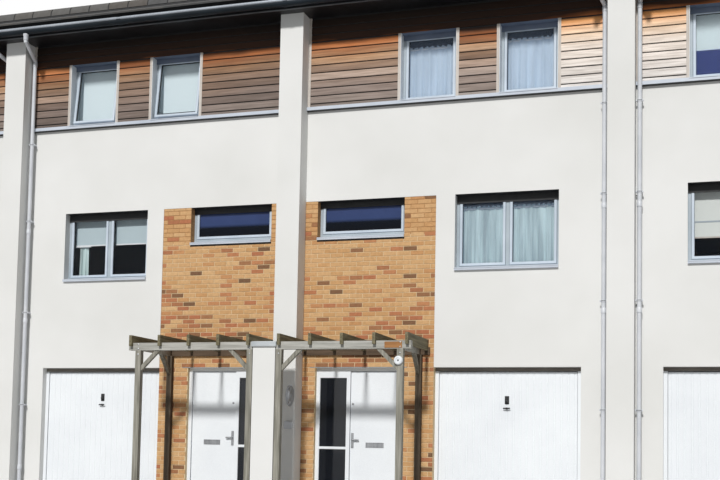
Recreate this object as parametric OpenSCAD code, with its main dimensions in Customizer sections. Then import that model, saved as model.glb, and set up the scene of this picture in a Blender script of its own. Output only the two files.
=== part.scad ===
// A row of four three-storey terraced houses with integral garages, built in handed pairs.
// Millimetres, Z up. The origin is on the ground, in the middle of the row and halfway back.
// X runs along the row and Y runs into the building. The pieces are drawn from the front wall
// face at Y = 0 and then set back by half the depth of the house.

/* [Row] */
// Width of one house between party wall centres
house_width = 5300; // [5100:20:5500]
// Depth of the house between its front and back faces
house_depth = 8400; // [7800:100:9200]
// Height of the soffit above the ground
eaves_height = 8100; // [8000:20:8400]
// Slope of the roof in degrees
roof_pitch = 23.5; // [20:0.5:32]
// Thickness of the front and back walls
wall_thickness = 300; // [280:10:340]
// Thickness of the party walls
party_thickness = 300; // [250:10:360]
// Width of the white piers at each party wall
pier_width = 400; // [380:10:440]
// How far the piers stand out from the front
pier_depth = 320; // [200:10:420]

/* [Storeys] */
// Depth of the wall between the garage opening and the first floor
lintel_depth = 260; // [210:5:280]
// Top of the first floor windows and of the brick panel
first_head = 5000; // [4950:25:5100]
// Height of the wide first floor windows
wide_height = 1180; // [1150:10:1300]
// How far the second floor windows stop below the soffit
head_drop = 400; // [350:10:470]
// Height of the second floor windows
upper_height = 1120; // [1070:10:1170]
// Height of a window sill above the floor inside
sill_rise = 1060; // [1000:10:1120]
// Depth of the upper floors
floor_depth = 250; // [200:10:300]

/* [Openings] */
// Width of the brick panel that shows beside the pier
brick_width = 2210; // [2170:10:2250]
// Width of the rendered wall between the garage opening and its pier
garage_side = 400; // [300:10:460]
// Distance of the wide first floor window from the edge of the brick
wide_inset = 310; // [270:10:360]
// Width of the wide first floor window
wide_window = 1630; // [1500:10:1700]
// Width of the narrow window at the top of the brick
slot_width = 1480; // [1300:10:1550]
// Height of the narrow window
slot_height = 610; // [580:10:660]
// Width of each second floor window
upper_window = 920; // [840:10:960]
// Distance of the second floor windows from the pier on the front door side
inner_inset = 1590; // [1540:10:1640]
// Distance of the second floor windows from the pier on the garage side
outer_inset = 775; // [720:5:820]
// How far the windows stand behind the wall face
window_recess = 150; // [100:10:180]
// Width of the front door opening with its side light
entrance_width = 1445; // [1410:5:1460]
// Width of the garden door opening at the back
patio_width = 2400; // [2100:50:2600]

/* [Doors] */
// Thickness of a front door leaf
leaf_thickness = 44; // [40:1:54]
// Width of a front door leaf
leaf_width = 790; // [760:5:820]
// Thickness of a garage door panel
garage_panel = 40; // [30:2:44]
// How far a garage door hangs behind the wall face
garage_recess = 135; // [120:5:150]

/* [Porch] */
// How far the timber porch stands out from the wall
porch_depth = 1200; // [1000:20:1400]
// Underside of the porch beams
porch_height = 2445; // [2430:5:2600]
// Depth of a porch beam
beam_depth = 120; // [100:5:140]
// Height of a porch rafter
rafter_depth = 175; // [160:5:200]
// Thickness of a porch rafter
rafter_thickness = 47; // [40:1:60]

/* [Hidden] */

// colours of the broad materials
brick_colour = [0.72, 0.55, 0.36];
render_colour = [0.88, 0.88, 0.86];
timber_colour = [0.55, 0.40, 0.28];
grey_timber = [0.42, 0.42, 0.38];
metal_colour = [0.62, 0.64, 0.66];
frame_colour = [0.66, 0.70, 0.75];
white_paint = [0.92, 0.92, 0.90];
glass_colour = [0.20, 0.25, 0.30];
tile_colour = [0.42, 0.39, 0.37];
black_board = [0.10, 0.10, 0.11];
concrete_colour = [0.62, 0.61, 0.59];
floor_colour = [0.70, 0.64, 0.55];

entrance_inset = 225;
slot_inset = 210;

// layout inside one house, measured from the party wall centre on its front door side
half_party = party_thickness / 2;
half_pier = pier_width / 2;
far_side = house_width - half_party;
brick_edge = half_pier + brick_width;
garage_edge = house_width - half_pier - garage_side;
entrance_start = half_pier + entrance_inset;
entrance_end = entrance_start + entrance_width;
slot_start = half_pier + slot_inset;
slot_end = slot_start + slot_width;
wide_start = brick_edge + wide_inset;
wide_end = min(wide_start + wide_window, garage_edge);
inner_start = half_pier + inner_inset;
inner_end = inner_start + upper_window;
outer_end = house_width - half_pier - outer_inset;
outer_start = outer_end - upper_window;
patio_start = (house_width - patio_width) / 2;
patio_end = patio_start + patio_width;
rear_start = (house_width - wide_window) / 2;
rear_end = rear_start + wide_window;
slot_sill = first_head - slot_height;
first_sill = first_head - wide_height;
second_head = eaves_height - head_drop;
second_sill = second_head - upper_height;
first_level = first_sill - sill_rise;
second_level = second_sill - sill_rise;
ground_head = first_level - floor_depth - lintel_depth;
brick_set_back = 10;

// levels and clearances
garage_floor = 50;
hall_level = 125;
threshold = 25;
clearance = 6;
running_gap = 0.3;
frame_bar = 60;
frame_depth = 70;
window_bar = 90;
mullion = 150;
entrance_recess = 80;
pane = 24;
boarding = 22;
strip_height = 55;
strip_depth = 60;
sill_height = 40;
sill_depth = 40;

// roof
overhang = 530;
fascia_thickness = 25;
fascia_height = 160;
soffit_thickness = 18;
roof_thickness = 95;
verge = 60;
drip = 45;
ridge_half = 150;
ridge_edge = 75;
ridge_rise = 214;
roof_base = eaves_height + 150;
seat = 0.3;
half_row = 2 * house_width + half_party;
gutter_radius = 60;
gutter_wall = 4;
gutter_reach = overhang + fascia_thickness + gutter_radius;
gutter_top = roof_base - 25;
pipe_radius = 34;
pipe_standoff = strip_depth + 40;
pipe_offset = half_pier + 60;
outlet_shift = 130;
pipe_foot = 90;
neck_low = 300;
outlet_drop = 110;

// porch
post = 95;
brace = 60;
brace_reach = 330;
brace_cut = 85;
outer_post = 2180;
rafter_pitch = 510;
rafter_notch = 55;
rafter_overhang = 60;
pier_block = 370;
cap_height = 85;
cap_side = 10;
cap_lip = 20;
inner_post = pier_block / 2 + cap_side + post / 2;

function roof_under(y) = roof_base + tan(roof_pitch) * (y + overhang + fascia_thickness);

// the four houses, left to right, each drawn from its front door side
starts = [-2 * house_width, 0, 0, 2 * house_width];
hands = [1, -1, 1, -1];

// from the front wall face to the middle of the house
module row() {
    translate([0, -house_depth / 2, 0]) children();
}

module place(i) {
    row() translate([starts[i], 0, 0]) scale([hands[i], 1, 1]) children();
}

module each_house() {
    for (i = [0:3]) place(i) children();
}

module block(u0, u1, y0, y1, z0, z1) {
    translate([u0, y0, z0]) cube([u1 - u0, y1 - y0, z1 - z0]);
}

// a flat shape in Y and Z carried along X
module along(u0, u1, points) {
    translate([u0, 0, 0]) rotate([90, 0, 90]) linear_extrude(u1 - u0) polygon(points);
}

// the same piece on the back wall
module on_back() {
    translate([0, house_depth, 0]) mirror([0, 1, 0]) children();
}

module front_slab(u0, u1, z0, z1, set_back = 0) {
    block(u0, u1, set_back, wall_thickness, z0, z1);
}

module ground_floor() color(concrete_colour) each_house() {
    block(half_party, far_side, wall_thickness, house_depth - wall_thickness, 0, garage_floor);
    block(entrance_start, entrance_end, brick_set_back, wall_thickness, 0, garage_floor);
    block(brick_edge, garage_edge, 0, wall_thickness, 0, garage_floor);
    on_back() block(patio_start, patio_end, 0, wall_thickness, 0, garage_floor);
}

// the hall stands a step above the garage
module hall_floor() color(concrete_colour) each_house() {
    block(half_party, brick_edge, wall_thickness, house_depth - wall_thickness,
        garage_floor, hall_level);
    block(entrance_start, entrance_end, brick_set_back, wall_thickness, garage_floor, hall_level);
}

module upper_floor(level) {
    each_house()
        block(half_party, far_side, wall_thickness, house_depth - wall_thickness,
            level - floor_depth, level);
}

module first_floor() color(floor_colour) upper_floor(first_level);

module second_floor() color(floor_colour) upper_floor(second_level);

module party_walls() color(render_colour) row()
    for (i = [-2:2])
        along(i * house_width - half_party, i * house_width + half_party, [
            [0, 0], [house_depth, 0], [house_depth, roof_under(0)],
            [house_depth / 2, roof_under(house_depth / 2)], [0, roof_under(0)]]);

module party_piers() color(render_colour) row()
    for (i = [-2:2])
        block(i * house_width - half_pier, i * house_width + half_pier,
            -pier_depth, 0, 0, eaves_height);

module brick_jambs() color(brick_colour) each_house() {
    front_slab(half_party, entrance_start, 0, ground_head, brick_set_back);
    front_slab(entrance_end, brick_edge, 0, ground_head, brick_set_back);
}

module brick_bands() color(brick_colour) each_house()
    front_slab(half_party, brick_edge, ground_head, slot_sill, brick_set_back);

module brick_cheeks() color(brick_colour) each_house() {
    front_slab(half_party, slot_start, slot_sill, first_head, brick_set_back);
    front_slab(slot_end, brick_edge, slot_sill, first_head, brick_set_back);
}

module render_jambs() color(render_colour) each_house() {
    front_slab(garage_edge, far_side, 0, ground_head);
    on_back() {
        front_slab(half_party, patio_start, 0, ground_head);
        front_slab(patio_end, far_side, 0, ground_head);
    }
}

module render_low() color(render_colour) each_house() {
    front_slab(brick_edge, far_side, ground_head, first_sill);
    on_back() front_slab(half_party, far_side, ground_head, first_sill);
}

module render_cheeks() color(render_colour) each_house() {
    front_slab(brick_edge, wide_start, first_sill, first_head);
    front_slab(wide_end, far_side, first_sill, first_head);
    on_back() {
        front_slab(half_party, rear_start, first_sill, first_head);
        front_slab(rear_end, far_side, first_sill, first_head);
    }
}

module render_bands() color(render_colour) each_house() {
    front_slab(half_party, far_side, first_head, second_sill);
    on_back() front_slab(half_party, far_side, first_head, second_sill);
}

module upper_pier_row() {
    front_slab(half_party, inner_start, second_sill, second_head);
    front_slab(inner_end, outer_start, second_sill, second_head);
    front_slab(outer_end, far_side, second_sill, second_head);
}

module upper_piers() color(render_colour) each_house() {
    upper_pier_row();
    on_back() upper_pier_row();
}

module upper_head() {
    along(half_party, far_side, [
        [0, second_head], [wall_thickness, second_head],
        [wall_thickness, roof_under(wall_thickness)], [0, roof_under(0)]]);
}

module upper_heads() color(render_colour) each_house() {
    upper_head();
    on_back() upper_head();
}

module timber_boarding() color(timber_colour) each_house()
    difference() {
        block(half_pier, house_width - half_pier, -boarding, 0, second_sill, eaves_height);
        for (u = [[inner_start, inner_end], [outer_start, outer_end]])
            block(u[0], u[1], -boarding - 1, 1, second_sill - 1, second_head);
    }

module metal_sills() color(metal_colour) each_house() {
    block(half_pier, house_width - half_pier, -strip_depth, 0,
        second_sill - strip_height, second_sill);
    sill(wide_start, wide_end, first_sill, 0);
    sill(slot_start, slot_end, slot_sill, brick_set_back);
    on_back() {
        sill(rear_start, rear_end, first_sill, 0);
        sill(inner_start, inner_end, second_sill, 0);
        sill(outer_start, outer_end, second_sill, 0);
    }
}

// a folded metal sill seated on the wall face just under its window
module sill(u0, u1, z, face) {
    block(u0, u1, face - sill_depth, face, z - sill_height, z);
}

function light_width(u0, u1, lights) =
    (u1 - u0 - 2 * window_bar - mullion * (lights - 1)) / lights;

// a window frame with its panes cut out; the panes are equal lights side by side
module window_frame(u0, u1, z0, z1, recess, lights) {
    light = light_width(u0, u1, lights);
    difference() {
        block(u0, u1, recess, recess + frame_depth, z0, z1);
        for (i = [0:lights - 1])
            translate([u0 + window_bar + i * (light + mullion), 0, 0])
                block(0, light, recess - 1, recess + frame_depth + 1, z0 + window_bar, z1 - window_bar);
    }
}

module window_panes(u0, u1, z0, z1, recess, lights) {
    light = light_width(u0, u1, lights);
    pane_start = recess + (frame_depth - pane) / 2;
    for (i = [0:lights - 1])
        translate([u0 + window_bar + i * (light + mullion), 0, 0])
            block(0, light, pane_start, pane_start + pane, z0 + window_bar, z1 - window_bar);
}

module lower_frames() color(frame_colour) each_house() {
    window_frame(wide_start, wide_end, first_sill, first_head, window_recess, 2);
    window_frame(slot_start, slot_end, slot_sill, first_head, window_recess, 1);
    on_back() {
        window_frame(rear_start, rear_end, first_sill, first_head, window_recess, 2);
        window_frame(patio_start, patio_end, garage_floor, ground_head, window_recess, 3);
    }
}

module lower_glass() color(glass_colour) each_house() {
    window_panes(wide_start, wide_end, first_sill, first_head, window_recess, 2);
    window_panes(slot_start, slot_end, slot_sill, first_head, window_recess, 1);
    side_light();
    on_back() {
        window_panes(rear_start, rear_end, first_sill, first_head, window_recess, 2);
        window_panes(patio_start, patio_end, garage_floor, ground_head, window_recess, 3);
    }
}

module upper_frame_pair() {
    window_frame(inner_start, inner_end, second_sill, second_head, window_recess, 1);
    window_frame(outer_start, outer_end, second_sill, second_head, window_recess, 1);
}

module upper_pane_pair() {
    window_panes(inner_start, inner_end, second_sill, second_head, window_recess, 1);
    window_panes(outer_start, outer_end, second_sill, second_head, window_recess, 1);
}

module upper_frames() color(frame_colour) each_house() {
    upper_frame_pair();
    on_back() upper_frame_pair();
}

module upper_glass() color(glass_colour) each_house() {
    upper_pane_pair();
    on_back() upper_pane_pair();
}

// the side light of the entrance, between its post and the mullion beside the leaf
side_start = entrance_start + frame_bar;
leaf_end = entrance_end - frame_bar - clearance;
leaf_start = leaf_end - leaf_width;
side_end = leaf_start - clearance - frame_bar;
light_rail = 925;
rail_bar = 35;
entrance_sill = hall_level + threshold;
side_head = ground_head - 165;

module side_light() {
    pane_start = entrance_recess + (frame_depth - pane) / 2;
    for (z = [[entrance_sill, light_rail], [light_rail + rail_bar, side_head]])
        block(side_start, side_end, pane_start, pane_start + pane, z[0], z[1]);
}

module entrance_bar(u0, u1, z0, z1) {
    block(u0, u1, entrance_recess, entrance_recess + frame_depth, z0, z1);
}

module entrance_posts() color(white_paint) each_house()
    for (u = [entrance_start, side_end, entrance_end - frame_bar])
        entrance_bar(u, u + frame_bar, entrance_sill, ground_head - frame_bar);

module entrance_rails() color(white_paint) each_house() {
    entrance_bar(entrance_start, entrance_end, ground_head - frame_bar, ground_head);
    entrance_bar(entrance_start, entrance_end, hall_level, entrance_sill);
    entrance_bar(side_start, side_end, light_rail, light_rail + rail_bar);
    entrance_bar(side_start, side_end, side_head, ground_head - frame_bar);
}

// a front door leaf, flush with the inside of its frame, hung on the side away from the party
// wall and opening inwards; its hinge knuckles turn just off the inner face of the post
leaf_back = entrance_recess + frame_depth;
knuckle = 8;
hinge_u = leaf_end + clearance / 2;
hinge_y = leaf_back + knuckle + running_gap;
knuckle_length = 100;
knuckle_plate = 30;
leaf_foot = entrance_sill + clearance;
leaf_head = ground_head - frame_bar - clearance;
handle_height = 1080;
handle_reach = 48;
handle_length = 120;
handle_radius = 10;
handle_plate = 40;

// a lever on a long plate by the free edge of the leaf, outside only
module door_handle() {
    front = leaf_back - leaf_thickness;
    u = leaf_start + handle_plate;
    block(u - handle_plate / 2, u + handle_plate / 2, front - 8, front,
        handle_height - 130, handle_height + 110);
    translate([u, front - handle_reach, handle_height]) rotate([-90, 0, 0])
        cylinder(h = handle_reach, r = handle_radius, $fn = 24);
    translate([u - handle_radius, front - handle_reach + handle_radius, handle_height]) rotate([0, 90, 0])
        cylinder(h = handle_length, r = handle_radius, $fn = 24);
}

module front_door(i) color(white_paint) place(i) {
    block(leaf_start, leaf_end, leaf_back - leaf_thickness, leaf_back, leaf_foot, leaf_head);
    for (t = [0.12, 0.5, 0.88])
        translate([0, 0, leaf_foot + t * (leaf_head - leaf_foot) - knuckle_length / 2]) {
            block(leaf_end - knuckle_plate, hinge_u, leaf_back, hinge_y, 0, knuckle_length);
            translate([hinge_u, hinge_y, 0]) cylinder(h = knuckle_length, r = knuckle, $fn = 24);
        }
    door_handle();
}

module front_door_1() front_door(0);
module front_door_2() front_door(1);
module front_door_3() front_door(2);
module front_door_4() front_door(3);

// garage: a three sided frame with two level tracks, a bar that runs back along the tracks
// and a panel that hangs from the bar
garage_post = 60;
track_size = 40;
track_length = 1800;
bar_radius = 17;
axis_y = garage_recess + garage_panel / 2;
axis_z = ground_head - garage_post - 36;
lug_radius = 27;
lug_width = 30;
grip_height = ground_head - 510;
grip_length = 120;
grip_plate = 60;
grip_reach = 45;
panel_top = axis_z - bar_radius - clearance;
panel_start = brick_edge + garage_post + clearance;
panel_end = garage_edge - garage_post - clearance;
bar_start = brick_edge + garage_post + running_gap;
bar_end = garage_edge - garage_post - running_gap;

module garage_posts() color(white_paint) each_house()
    for (u = [brick_edge, garage_edge - garage_post])
        block(u, u + garage_post, garage_recess - 15, garage_recess + 70,
            garage_floor, ground_head - garage_post);

module garage_rails() color(white_paint) each_house() {
    block(brick_edge, garage_edge, garage_recess - 15, garage_recess + 70,
        ground_head - garage_post, ground_head);
    for (u = [brick_edge, garage_edge - garage_post])
        block(u, u + garage_post, garage_recess + 70, garage_recess + track_length,
            axis_z - track_size / 2, axis_z + track_size / 2);
}

module on_axis(u, length, r) {
    translate([u, axis_y, axis_z]) rotate([0, 90, 0]) cylinder(h = length, r = r, $fn = 24);
}

module garage_bar(i) color(metal_colour) place(i)
    on_axis(bar_start, bar_end - bar_start, bar_radius);

// the panel hangs from the bar by three lugs that turn on it; its handle is a small plate
// with a short upright grip in the middle
module garage_door(i) color(white_paint) place(i) {
    middle = (panel_start + panel_end) / 2;
    block(middle - grip_plate / 2, middle + grip_plate / 2, garage_recess - 8, garage_recess,
        grip_height - grip_length / 2, grip_height + grip_length / 2);
    block(middle - grip_plate / 4, middle + grip_plate / 4, garage_recess - grip_reach, garage_recess - 8,
        grip_height - grip_length / 4, grip_height);
    block(panel_start, panel_end, garage_recess, garage_recess + garage_panel,
        garage_floor + 10, panel_top);
    for (t = [0.1, 0.5, 0.9])
        difference() {
            on_axis(panel_start + t * (panel_end - panel_start - lug_width), lug_width, lug_radius);
            on_axis(panel_start - 1, panel_end - panel_start + 2, bar_radius + running_gap);
        }
}

module garage_bar_1() garage_bar(0);
module garage_bar_2() garage_bar(1);
module garage_bar_3() garage_bar(2);
module garage_bar_4() garage_bar(3);
module garage_door_1() garage_door(0);
module garage_door_2() garage_door(1);
module garage_door_3() garage_door(2);
module garage_door_4() garage_door(3);

module roof_slope() {
    edge = -overhang - fascia_thickness - drip;
    along(-half_row - verge, half_row + verge, [
        [edge, roof_under(edge) + seat], [house_depth / 2, roof_under(house_depth / 2) + seat],
        [house_depth / 2, roof_under(house_depth / 2) + roof_thickness],
        [edge, roof_under(edge) + roof_thickness]]);
}

module roof_front() color(tile_colour) row() roof_slope();

module roof_back() color(tile_colour) row() on_back() roof_slope();

module ridge() color(tile_colour) row() {
    middle = house_depth / 2;
    top = roof_under(middle) + roof_thickness + seat;
    fall = tan(roof_pitch) * ridge_half;
    shoulder = top - fall + ridge_edge;
    crown = top + ridge_rise - shoulder;
    along(-half_row - verge, half_row + verge, concat(
        [[middle - ridge_half, top - fall], [middle, top], [middle + ridge_half, top - fall]],
        [for (turn = [0:15:180])
            [middle + ridge_half * cos(turn), shoulder + crown * sin(turn)]]));
}

module eaves_side() {
    block(-half_row, half_row, -overhang, 0, eaves_height, eaves_height + soffit_thickness);
    along(-half_row, half_row, [
        [-overhang - fascia_thickness, eaves_height - 10], [-overhang, eaves_height - 10],
        [-overhang, roof_under(-overhang)],
        [-overhang - fascia_thickness, roof_under(-overhang - fascia_thickness)]]);
}

module eaves_boards() color(black_board) row() {
    eaves_side();
    on_back() eaves_side();
}

module gutter() {
    translate([-half_row, -gutter_reach, gutter_top - gutter_radius]) rotate([90, 0, 90])
        linear_extrude(2 * half_row) difference() {
            union() {
                circle(r = gutter_radius, $fn = 24);
                translate([-gutter_radius, 0]) square([2 * gutter_radius, gutter_radius]);
            }
            circle(r = gutter_radius - gutter_wall, $fn = 24);
            translate([gutter_wall - gutter_radius, 0])
                square([2 * (gutter_radius - gutter_wall), gutter_radius + 1]);
        }
}

module gutters() color(black_board) row() {
    gutter();
    on_back() gutter();
}

// a rain pipe: an upright on the wall, a sloping neck and a short drop from the gutter
module downpipe(side) {
    gutter_base = gutter_top - 2 * gutter_radius;
    neck_top = gutter_base - outlet_drop;
    neck_base = eaves_height - neck_low;
    neck = [side * outlet_shift, pipe_standoff - gutter_reach, neck_top - neck_base];
    translate([0, -pipe_standoff, pipe_foot])
        cylinder(h = neck_base - pipe_foot + pipe_radius, r = pipe_radius, $fn = 24);
    translate([neck.x, -gutter_reach, neck_top - pipe_radius])
        cylinder(h = outlet_drop + pipe_radius, r = pipe_radius, $fn = 24);
    translate([0, -pipe_standoff, neck_base]) rotate([0, acos(neck.z / norm(neck)), atan2(neck.y, neck.x)])
        cylinder(h = norm(neck), r = pipe_radius, $fn = 24);
    for (t = [0.193, 0.406, 0.619, 0.8]) let (z = pipe_foot + t * (neck_base - pipe_foot))
        block(-pipe_radius - 8, pipe_radius + 8, -pipe_standoff - 4, 0, z, z + 30);
}

module pipe_set() {
    for (i = [-1, 1], side = [-1, 1])
        translate([i * house_width + side * pipe_offset, 0, 0]) downpipe(side);
}

module downpipes() color(white_paint) row() {
    pipe_set();
    on_back() pipe_set();
}

// porch timbers, drawn for one house from the party wall line outwards
post_rows = [inner_post, outer_post];
porch_top = porch_height + beam_depth;

module porch_posts() color(grey_timber) each_house() {
    for (u = post_rows)
        block(u - post / 2, u + post / 2, -porch_depth, -porch_depth + post, 0, porch_height);
    block(outer_post - post / 2, outer_post + post / 2, brick_set_back - post, brick_set_back,
        0, porch_height);
}

module porch_beams() color(grey_timber) each_house() {
    end = outer_post + post / 2 + 120;
    block(inner_post - post / 2, end, -porch_depth, -porch_depth + post, porch_height, porch_top);
    block(half_pier, end, brick_set_back - rafter_thickness, brick_set_back,
        porch_height, porch_top);
    block(outer_post - rafter_thickness / 2, outer_post + rafter_thickness / 2,
        -porch_depth + post, brick_set_back - rafter_thickness, porch_height, porch_top);
}

// the rafters are notched over the front beam and over the beam on the wall
module porch_rafters() color(grey_timber) each_house() {
    low = porch_top - rafter_notch;
    high = low + rafter_depth;
    front = -porch_depth - rafter_overhang;
    wall_beam = brick_set_back - rafter_thickness;
    for (i = [0:4])
        along(rafter_pitch * (i + 0.5) - rafter_thickness / 2,
            rafter_pitch * (i + 0.5) + rafter_thickness / 2, [
                [front, low], [-porch_depth, low], [-porch_depth, porch_top],
                [-porch_depth + post, porch_top], [-porch_depth + post, low],
                [wall_beam, low], [wall_beam, porch_top], [brick_set_back, porch_top],
                [brick_set_back, high], [front, high]]);
}

module porch_braces() color(grey_timber) each_house() {
    y0 = -porch_depth + (post - brace) / 2;
    for (side = [[inner_post + post / 2, 1], [outer_post - post / 2, -1]])
        translate([side[0], y0, porch_height]) rotate([90, 0, 0]) mirror([0, 0, 1])
            linear_extrude(brace) scale([side[1], 1])
                polygon([[0, -brace_reach], [brace_reach, 0],
                    [brace_reach - brace_cut, 0], [0, -brace_reach + brace_cut]]);
    wall_post = brick_set_back - post;
    along(outer_post - brace / 2, outer_post + brace / 2, [
        [wall_post, porch_height - brace_reach], [wall_post, porch_height - brace_reach + brace_cut],
        [wall_post - brace_reach + brace_cut, porch_height], [wall_post - brace_reach, porch_height]]);
}

module porch_piers() color(render_colour) row()
    for (i = [-2, 0, 2]) translate([i * house_width, -porch_depth, 0]) {
        block(-pier_block / 2, pier_block / 2, 0, pier_block, 0, porch_height + 40);
        block(-pier_block / 2 - cap_side, pier_block / 2 + cap_side, -cap_lip, pier_block + cap_lip,
            porch_height + 40, porch_height + 40 + cap_height);
    }

ground_floor();
hall_floor();
first_floor();
second_floor();
party_walls();
party_piers();
brick_jambs();
brick_bands();
brick_cheeks();
render_jambs();
render_low();
render_cheeks();
render_bands();
upper_piers();
upper_heads();
timber_boarding();
metal_sills();
lower_frames();
lower_glass();
upper_frames();
upper_glass();
garage_posts();
garage_rails();
garage_bar_1();
garage_bar_2();
garage_bar_3();
garage_bar_4();
garage_door_1();
garage_door_2();
garage_door_3();
garage_door_4();
entrance_posts();
entrance_rails();
front_door_1();
front_door_2();
front_door_3();
front_door_4();
roof_front();
roof_back();
ridge();
eaves_boards();
gutters();
downpipes();
porch_posts();
porch_beams();
porch_rafters();
porch_braces();
porch_piers();
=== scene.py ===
# %% [markdown]
# # A row of three-storey houses with garages, porches and timber-clad top floors
# The walls, floors, roof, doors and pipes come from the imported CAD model. This lesson dresses
# them: it lays bricks, boards and tiles, glazes the windows and gives every surface a finish.
# Everything is in metres, with Z up, X along the row and Y into the building.

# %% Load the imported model
import math
from collections import defaultdict

import bpy
import numpy as np
from mathutils import Matrix, Vector


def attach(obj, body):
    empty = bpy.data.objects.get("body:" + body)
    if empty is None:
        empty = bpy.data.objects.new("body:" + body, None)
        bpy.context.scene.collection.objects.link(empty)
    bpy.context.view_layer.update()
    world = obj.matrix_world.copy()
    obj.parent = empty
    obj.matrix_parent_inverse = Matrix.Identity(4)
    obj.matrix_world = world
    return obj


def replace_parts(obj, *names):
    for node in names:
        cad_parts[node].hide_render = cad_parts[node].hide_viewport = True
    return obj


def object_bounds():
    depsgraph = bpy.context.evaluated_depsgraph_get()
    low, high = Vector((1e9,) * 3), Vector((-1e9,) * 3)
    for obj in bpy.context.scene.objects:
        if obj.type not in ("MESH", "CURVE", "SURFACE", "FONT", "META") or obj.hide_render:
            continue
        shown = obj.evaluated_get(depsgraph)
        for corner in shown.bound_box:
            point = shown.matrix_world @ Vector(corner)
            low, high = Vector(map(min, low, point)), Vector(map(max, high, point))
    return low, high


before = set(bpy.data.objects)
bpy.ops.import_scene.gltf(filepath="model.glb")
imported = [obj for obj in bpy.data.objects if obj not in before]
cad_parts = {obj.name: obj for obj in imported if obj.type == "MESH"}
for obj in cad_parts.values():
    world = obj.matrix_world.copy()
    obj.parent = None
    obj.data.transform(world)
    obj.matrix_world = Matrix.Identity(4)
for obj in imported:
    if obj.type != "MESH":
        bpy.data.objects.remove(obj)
cad_box = [list(corner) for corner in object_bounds()]

# %% [markdown]
# ## The measures of one house
# All four houses are the same house, drawn once and handed left or right. A place inside a
# house is written as (u, y, z): u runs from the party wall beside the front door, y runs into
# the wall from its outer face, and z is the height. These numbers repeat those of the CAD model.

# %% Measures
WIDTH, DEPTH, EAVES = 5.3, 8.4, 8.1
START = np.array([-2 * WIDTH, 0, 0, 2 * WIDTH])
HAND = np.array([1, -1, 1, -1])
PIER, BRICK_EDGE, GARAGE_EDGE = 0.2, 2.41, 4.7
GROUND_HEAD, FIRST_SILL, SLOT_SILL, FIRST_HEAD = 2.25, 3.82, 4.39, 5.0
SECOND_SILL, SECOND_HEAD, RECESS = 6.58, 7.70, 0.15
WIDE, SLOT, INNER, OUTER = (2.72, 4.35), (0.41, 1.89), (1.79, 2.71), (3.405, 4.325)
ENTRANCE, PATIO, REAR = (0.425, 1.87), (1.45, 3.85), (1.835, 3.465)
BRICK_FACE, GARAGE_FLOOR = 0.010, 0.05
HALF_ROW = 10.75
SLOPE = math.radians(23.5)
BODY = "house_row"
dice = np.random.default_rng(20)
print("row", 2 * HALF_ROW, "m long,", DEPTH, "m deep")

# %% [markdown]
# ## The camera
# The fitted camera stands low and to the right, and the point that it looks straight at is off the
# middle of the picture, as in a photograph that has been trimmed. The camera's shift does the same.

# %% Camera
YAW, PITCH, ROLL = -0.3239, 0.0683, 0.0208
FOCAL, MIDDLE, CAMERA_AT = 1152.6446, (333.0142, 367.6633), (6.6857, -17.7359 - DEPTH / 2, 0.9647)
PHOTO_WIDE, PHOTO_HIGH, SENSOR = 720, 480, 36
ahead = np.array([math.sin(YAW) * math.cos(PITCH), math.cos(YAW) * math.cos(PITCH), math.sin(PITCH)])
level = np.array([math.cos(YAW), -math.sin(YAW), 0.0])
upright = np.cross(level, ahead)
right = math.cos(ROLL) * level + math.sin(ROLL) * upright
above = -math.sin(ROLL) * level + math.cos(ROLL) * upright
lens = bpy.data.cameras.new("camera")
lens.sensor_width, lens.lens = SENSOR, FOCAL * SENSOR / PHOTO_WIDE
lens.shift_x = (PHOTO_WIDE / 2 - MIDDLE[0]) / PHOTO_WIDE
lens.shift_y = (MIDDLE[1] - PHOTO_HIGH / 2) / PHOTO_WIDE
camera = bpy.data.objects.new("camera", lens)
bpy.context.collection.objects.link(camera)
camera.matrix_world = Matrix.Translation(CAMERA_AT) @ Matrix(np.column_stack([right, above, -ahead])).to_4x4()
bpy.context.scene.camera = camera
print("lens", round(lens.lens, 1), "mm")

# %% [markdown]
# ## Node trees
# Finishes and the sky are small trees of nodes. A helper for each kind of node keeps them short.

# %% Node helpers
def paint(*rgb):
    """A colour written in the usual 0 to 255 as the linear colour that the shader reads."""
    v = np.array(rgb) / 255
    return tuple(np.where(v <= 0.04045, v / 12.92, ((v + 0.055) / 1.055) ** 2.4)) + (1.0,)


def add(m, kind, sockets=None, out=0, **fields):
    """Adds one node to m, a material or the world. Sockets take numbers, colours or wires, and the
    chosen output is returned."""
    node = m.node_tree.nodes.new("ShaderNode" + kind)
    for name, value in fields.items():
        setattr(node, name, value)
    for name, value in (sockets or {}).items():
        if isinstance(value, bpy.types.NodeSocket):
            m.node_tree.links.new(value, node.inputs[name])
        else:
            node.inputs[name].default_value = value
    return node.outputs[out]


def ramp(m, value, stops):
    """Colours by a value from 0 to 1; stops are (place, colour). A colour of three numbers is
    written in 0 to 255, and one of four is linear."""
    out = add(m, "ValToRGB", {"Fac": value})
    band = out.node.color_ramp
    while len(band.elements) < len(stops):
        band.elements.new(0.5)
    for element, (place, colour) in zip(band.elements, stops):
        element.position, element.color = place, paint(*colour) if len(colour) == 3 else colour
    return out


def blend(m, share, one, two, kind="MIX"):
    """Mixes two colours, or multiplies them where kind says so."""
    return add(m, "Mix", {0: share, 6: one, 7: two}, out=2, data_type="RGBA", blend_type=kind)


def speckle(m, size, stretch=(1, 1, 1), detail=3.0, rough=0.55):
    """Noise with blots about size metres across, drawn out along the axes where stretch is small."""
    place = add(m, "TexCoord", out=3)
    place = add(m, "Mapping", {"Vector": place, "Scale": stretch})
    return add(m, "TexNoise", {"Vector": place, "Scale": 1 / size, "Detail": detail, "Roughness": rough})


def spread(m, value, low, high, start=0.3, stop=0.7):
    """Carries the values from start to stop over to low to high."""
    return add(m, "MapRange", {"Value": value, "From Min": start, "From Max": stop,
                               "To Min": low, "To Max": high})


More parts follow.
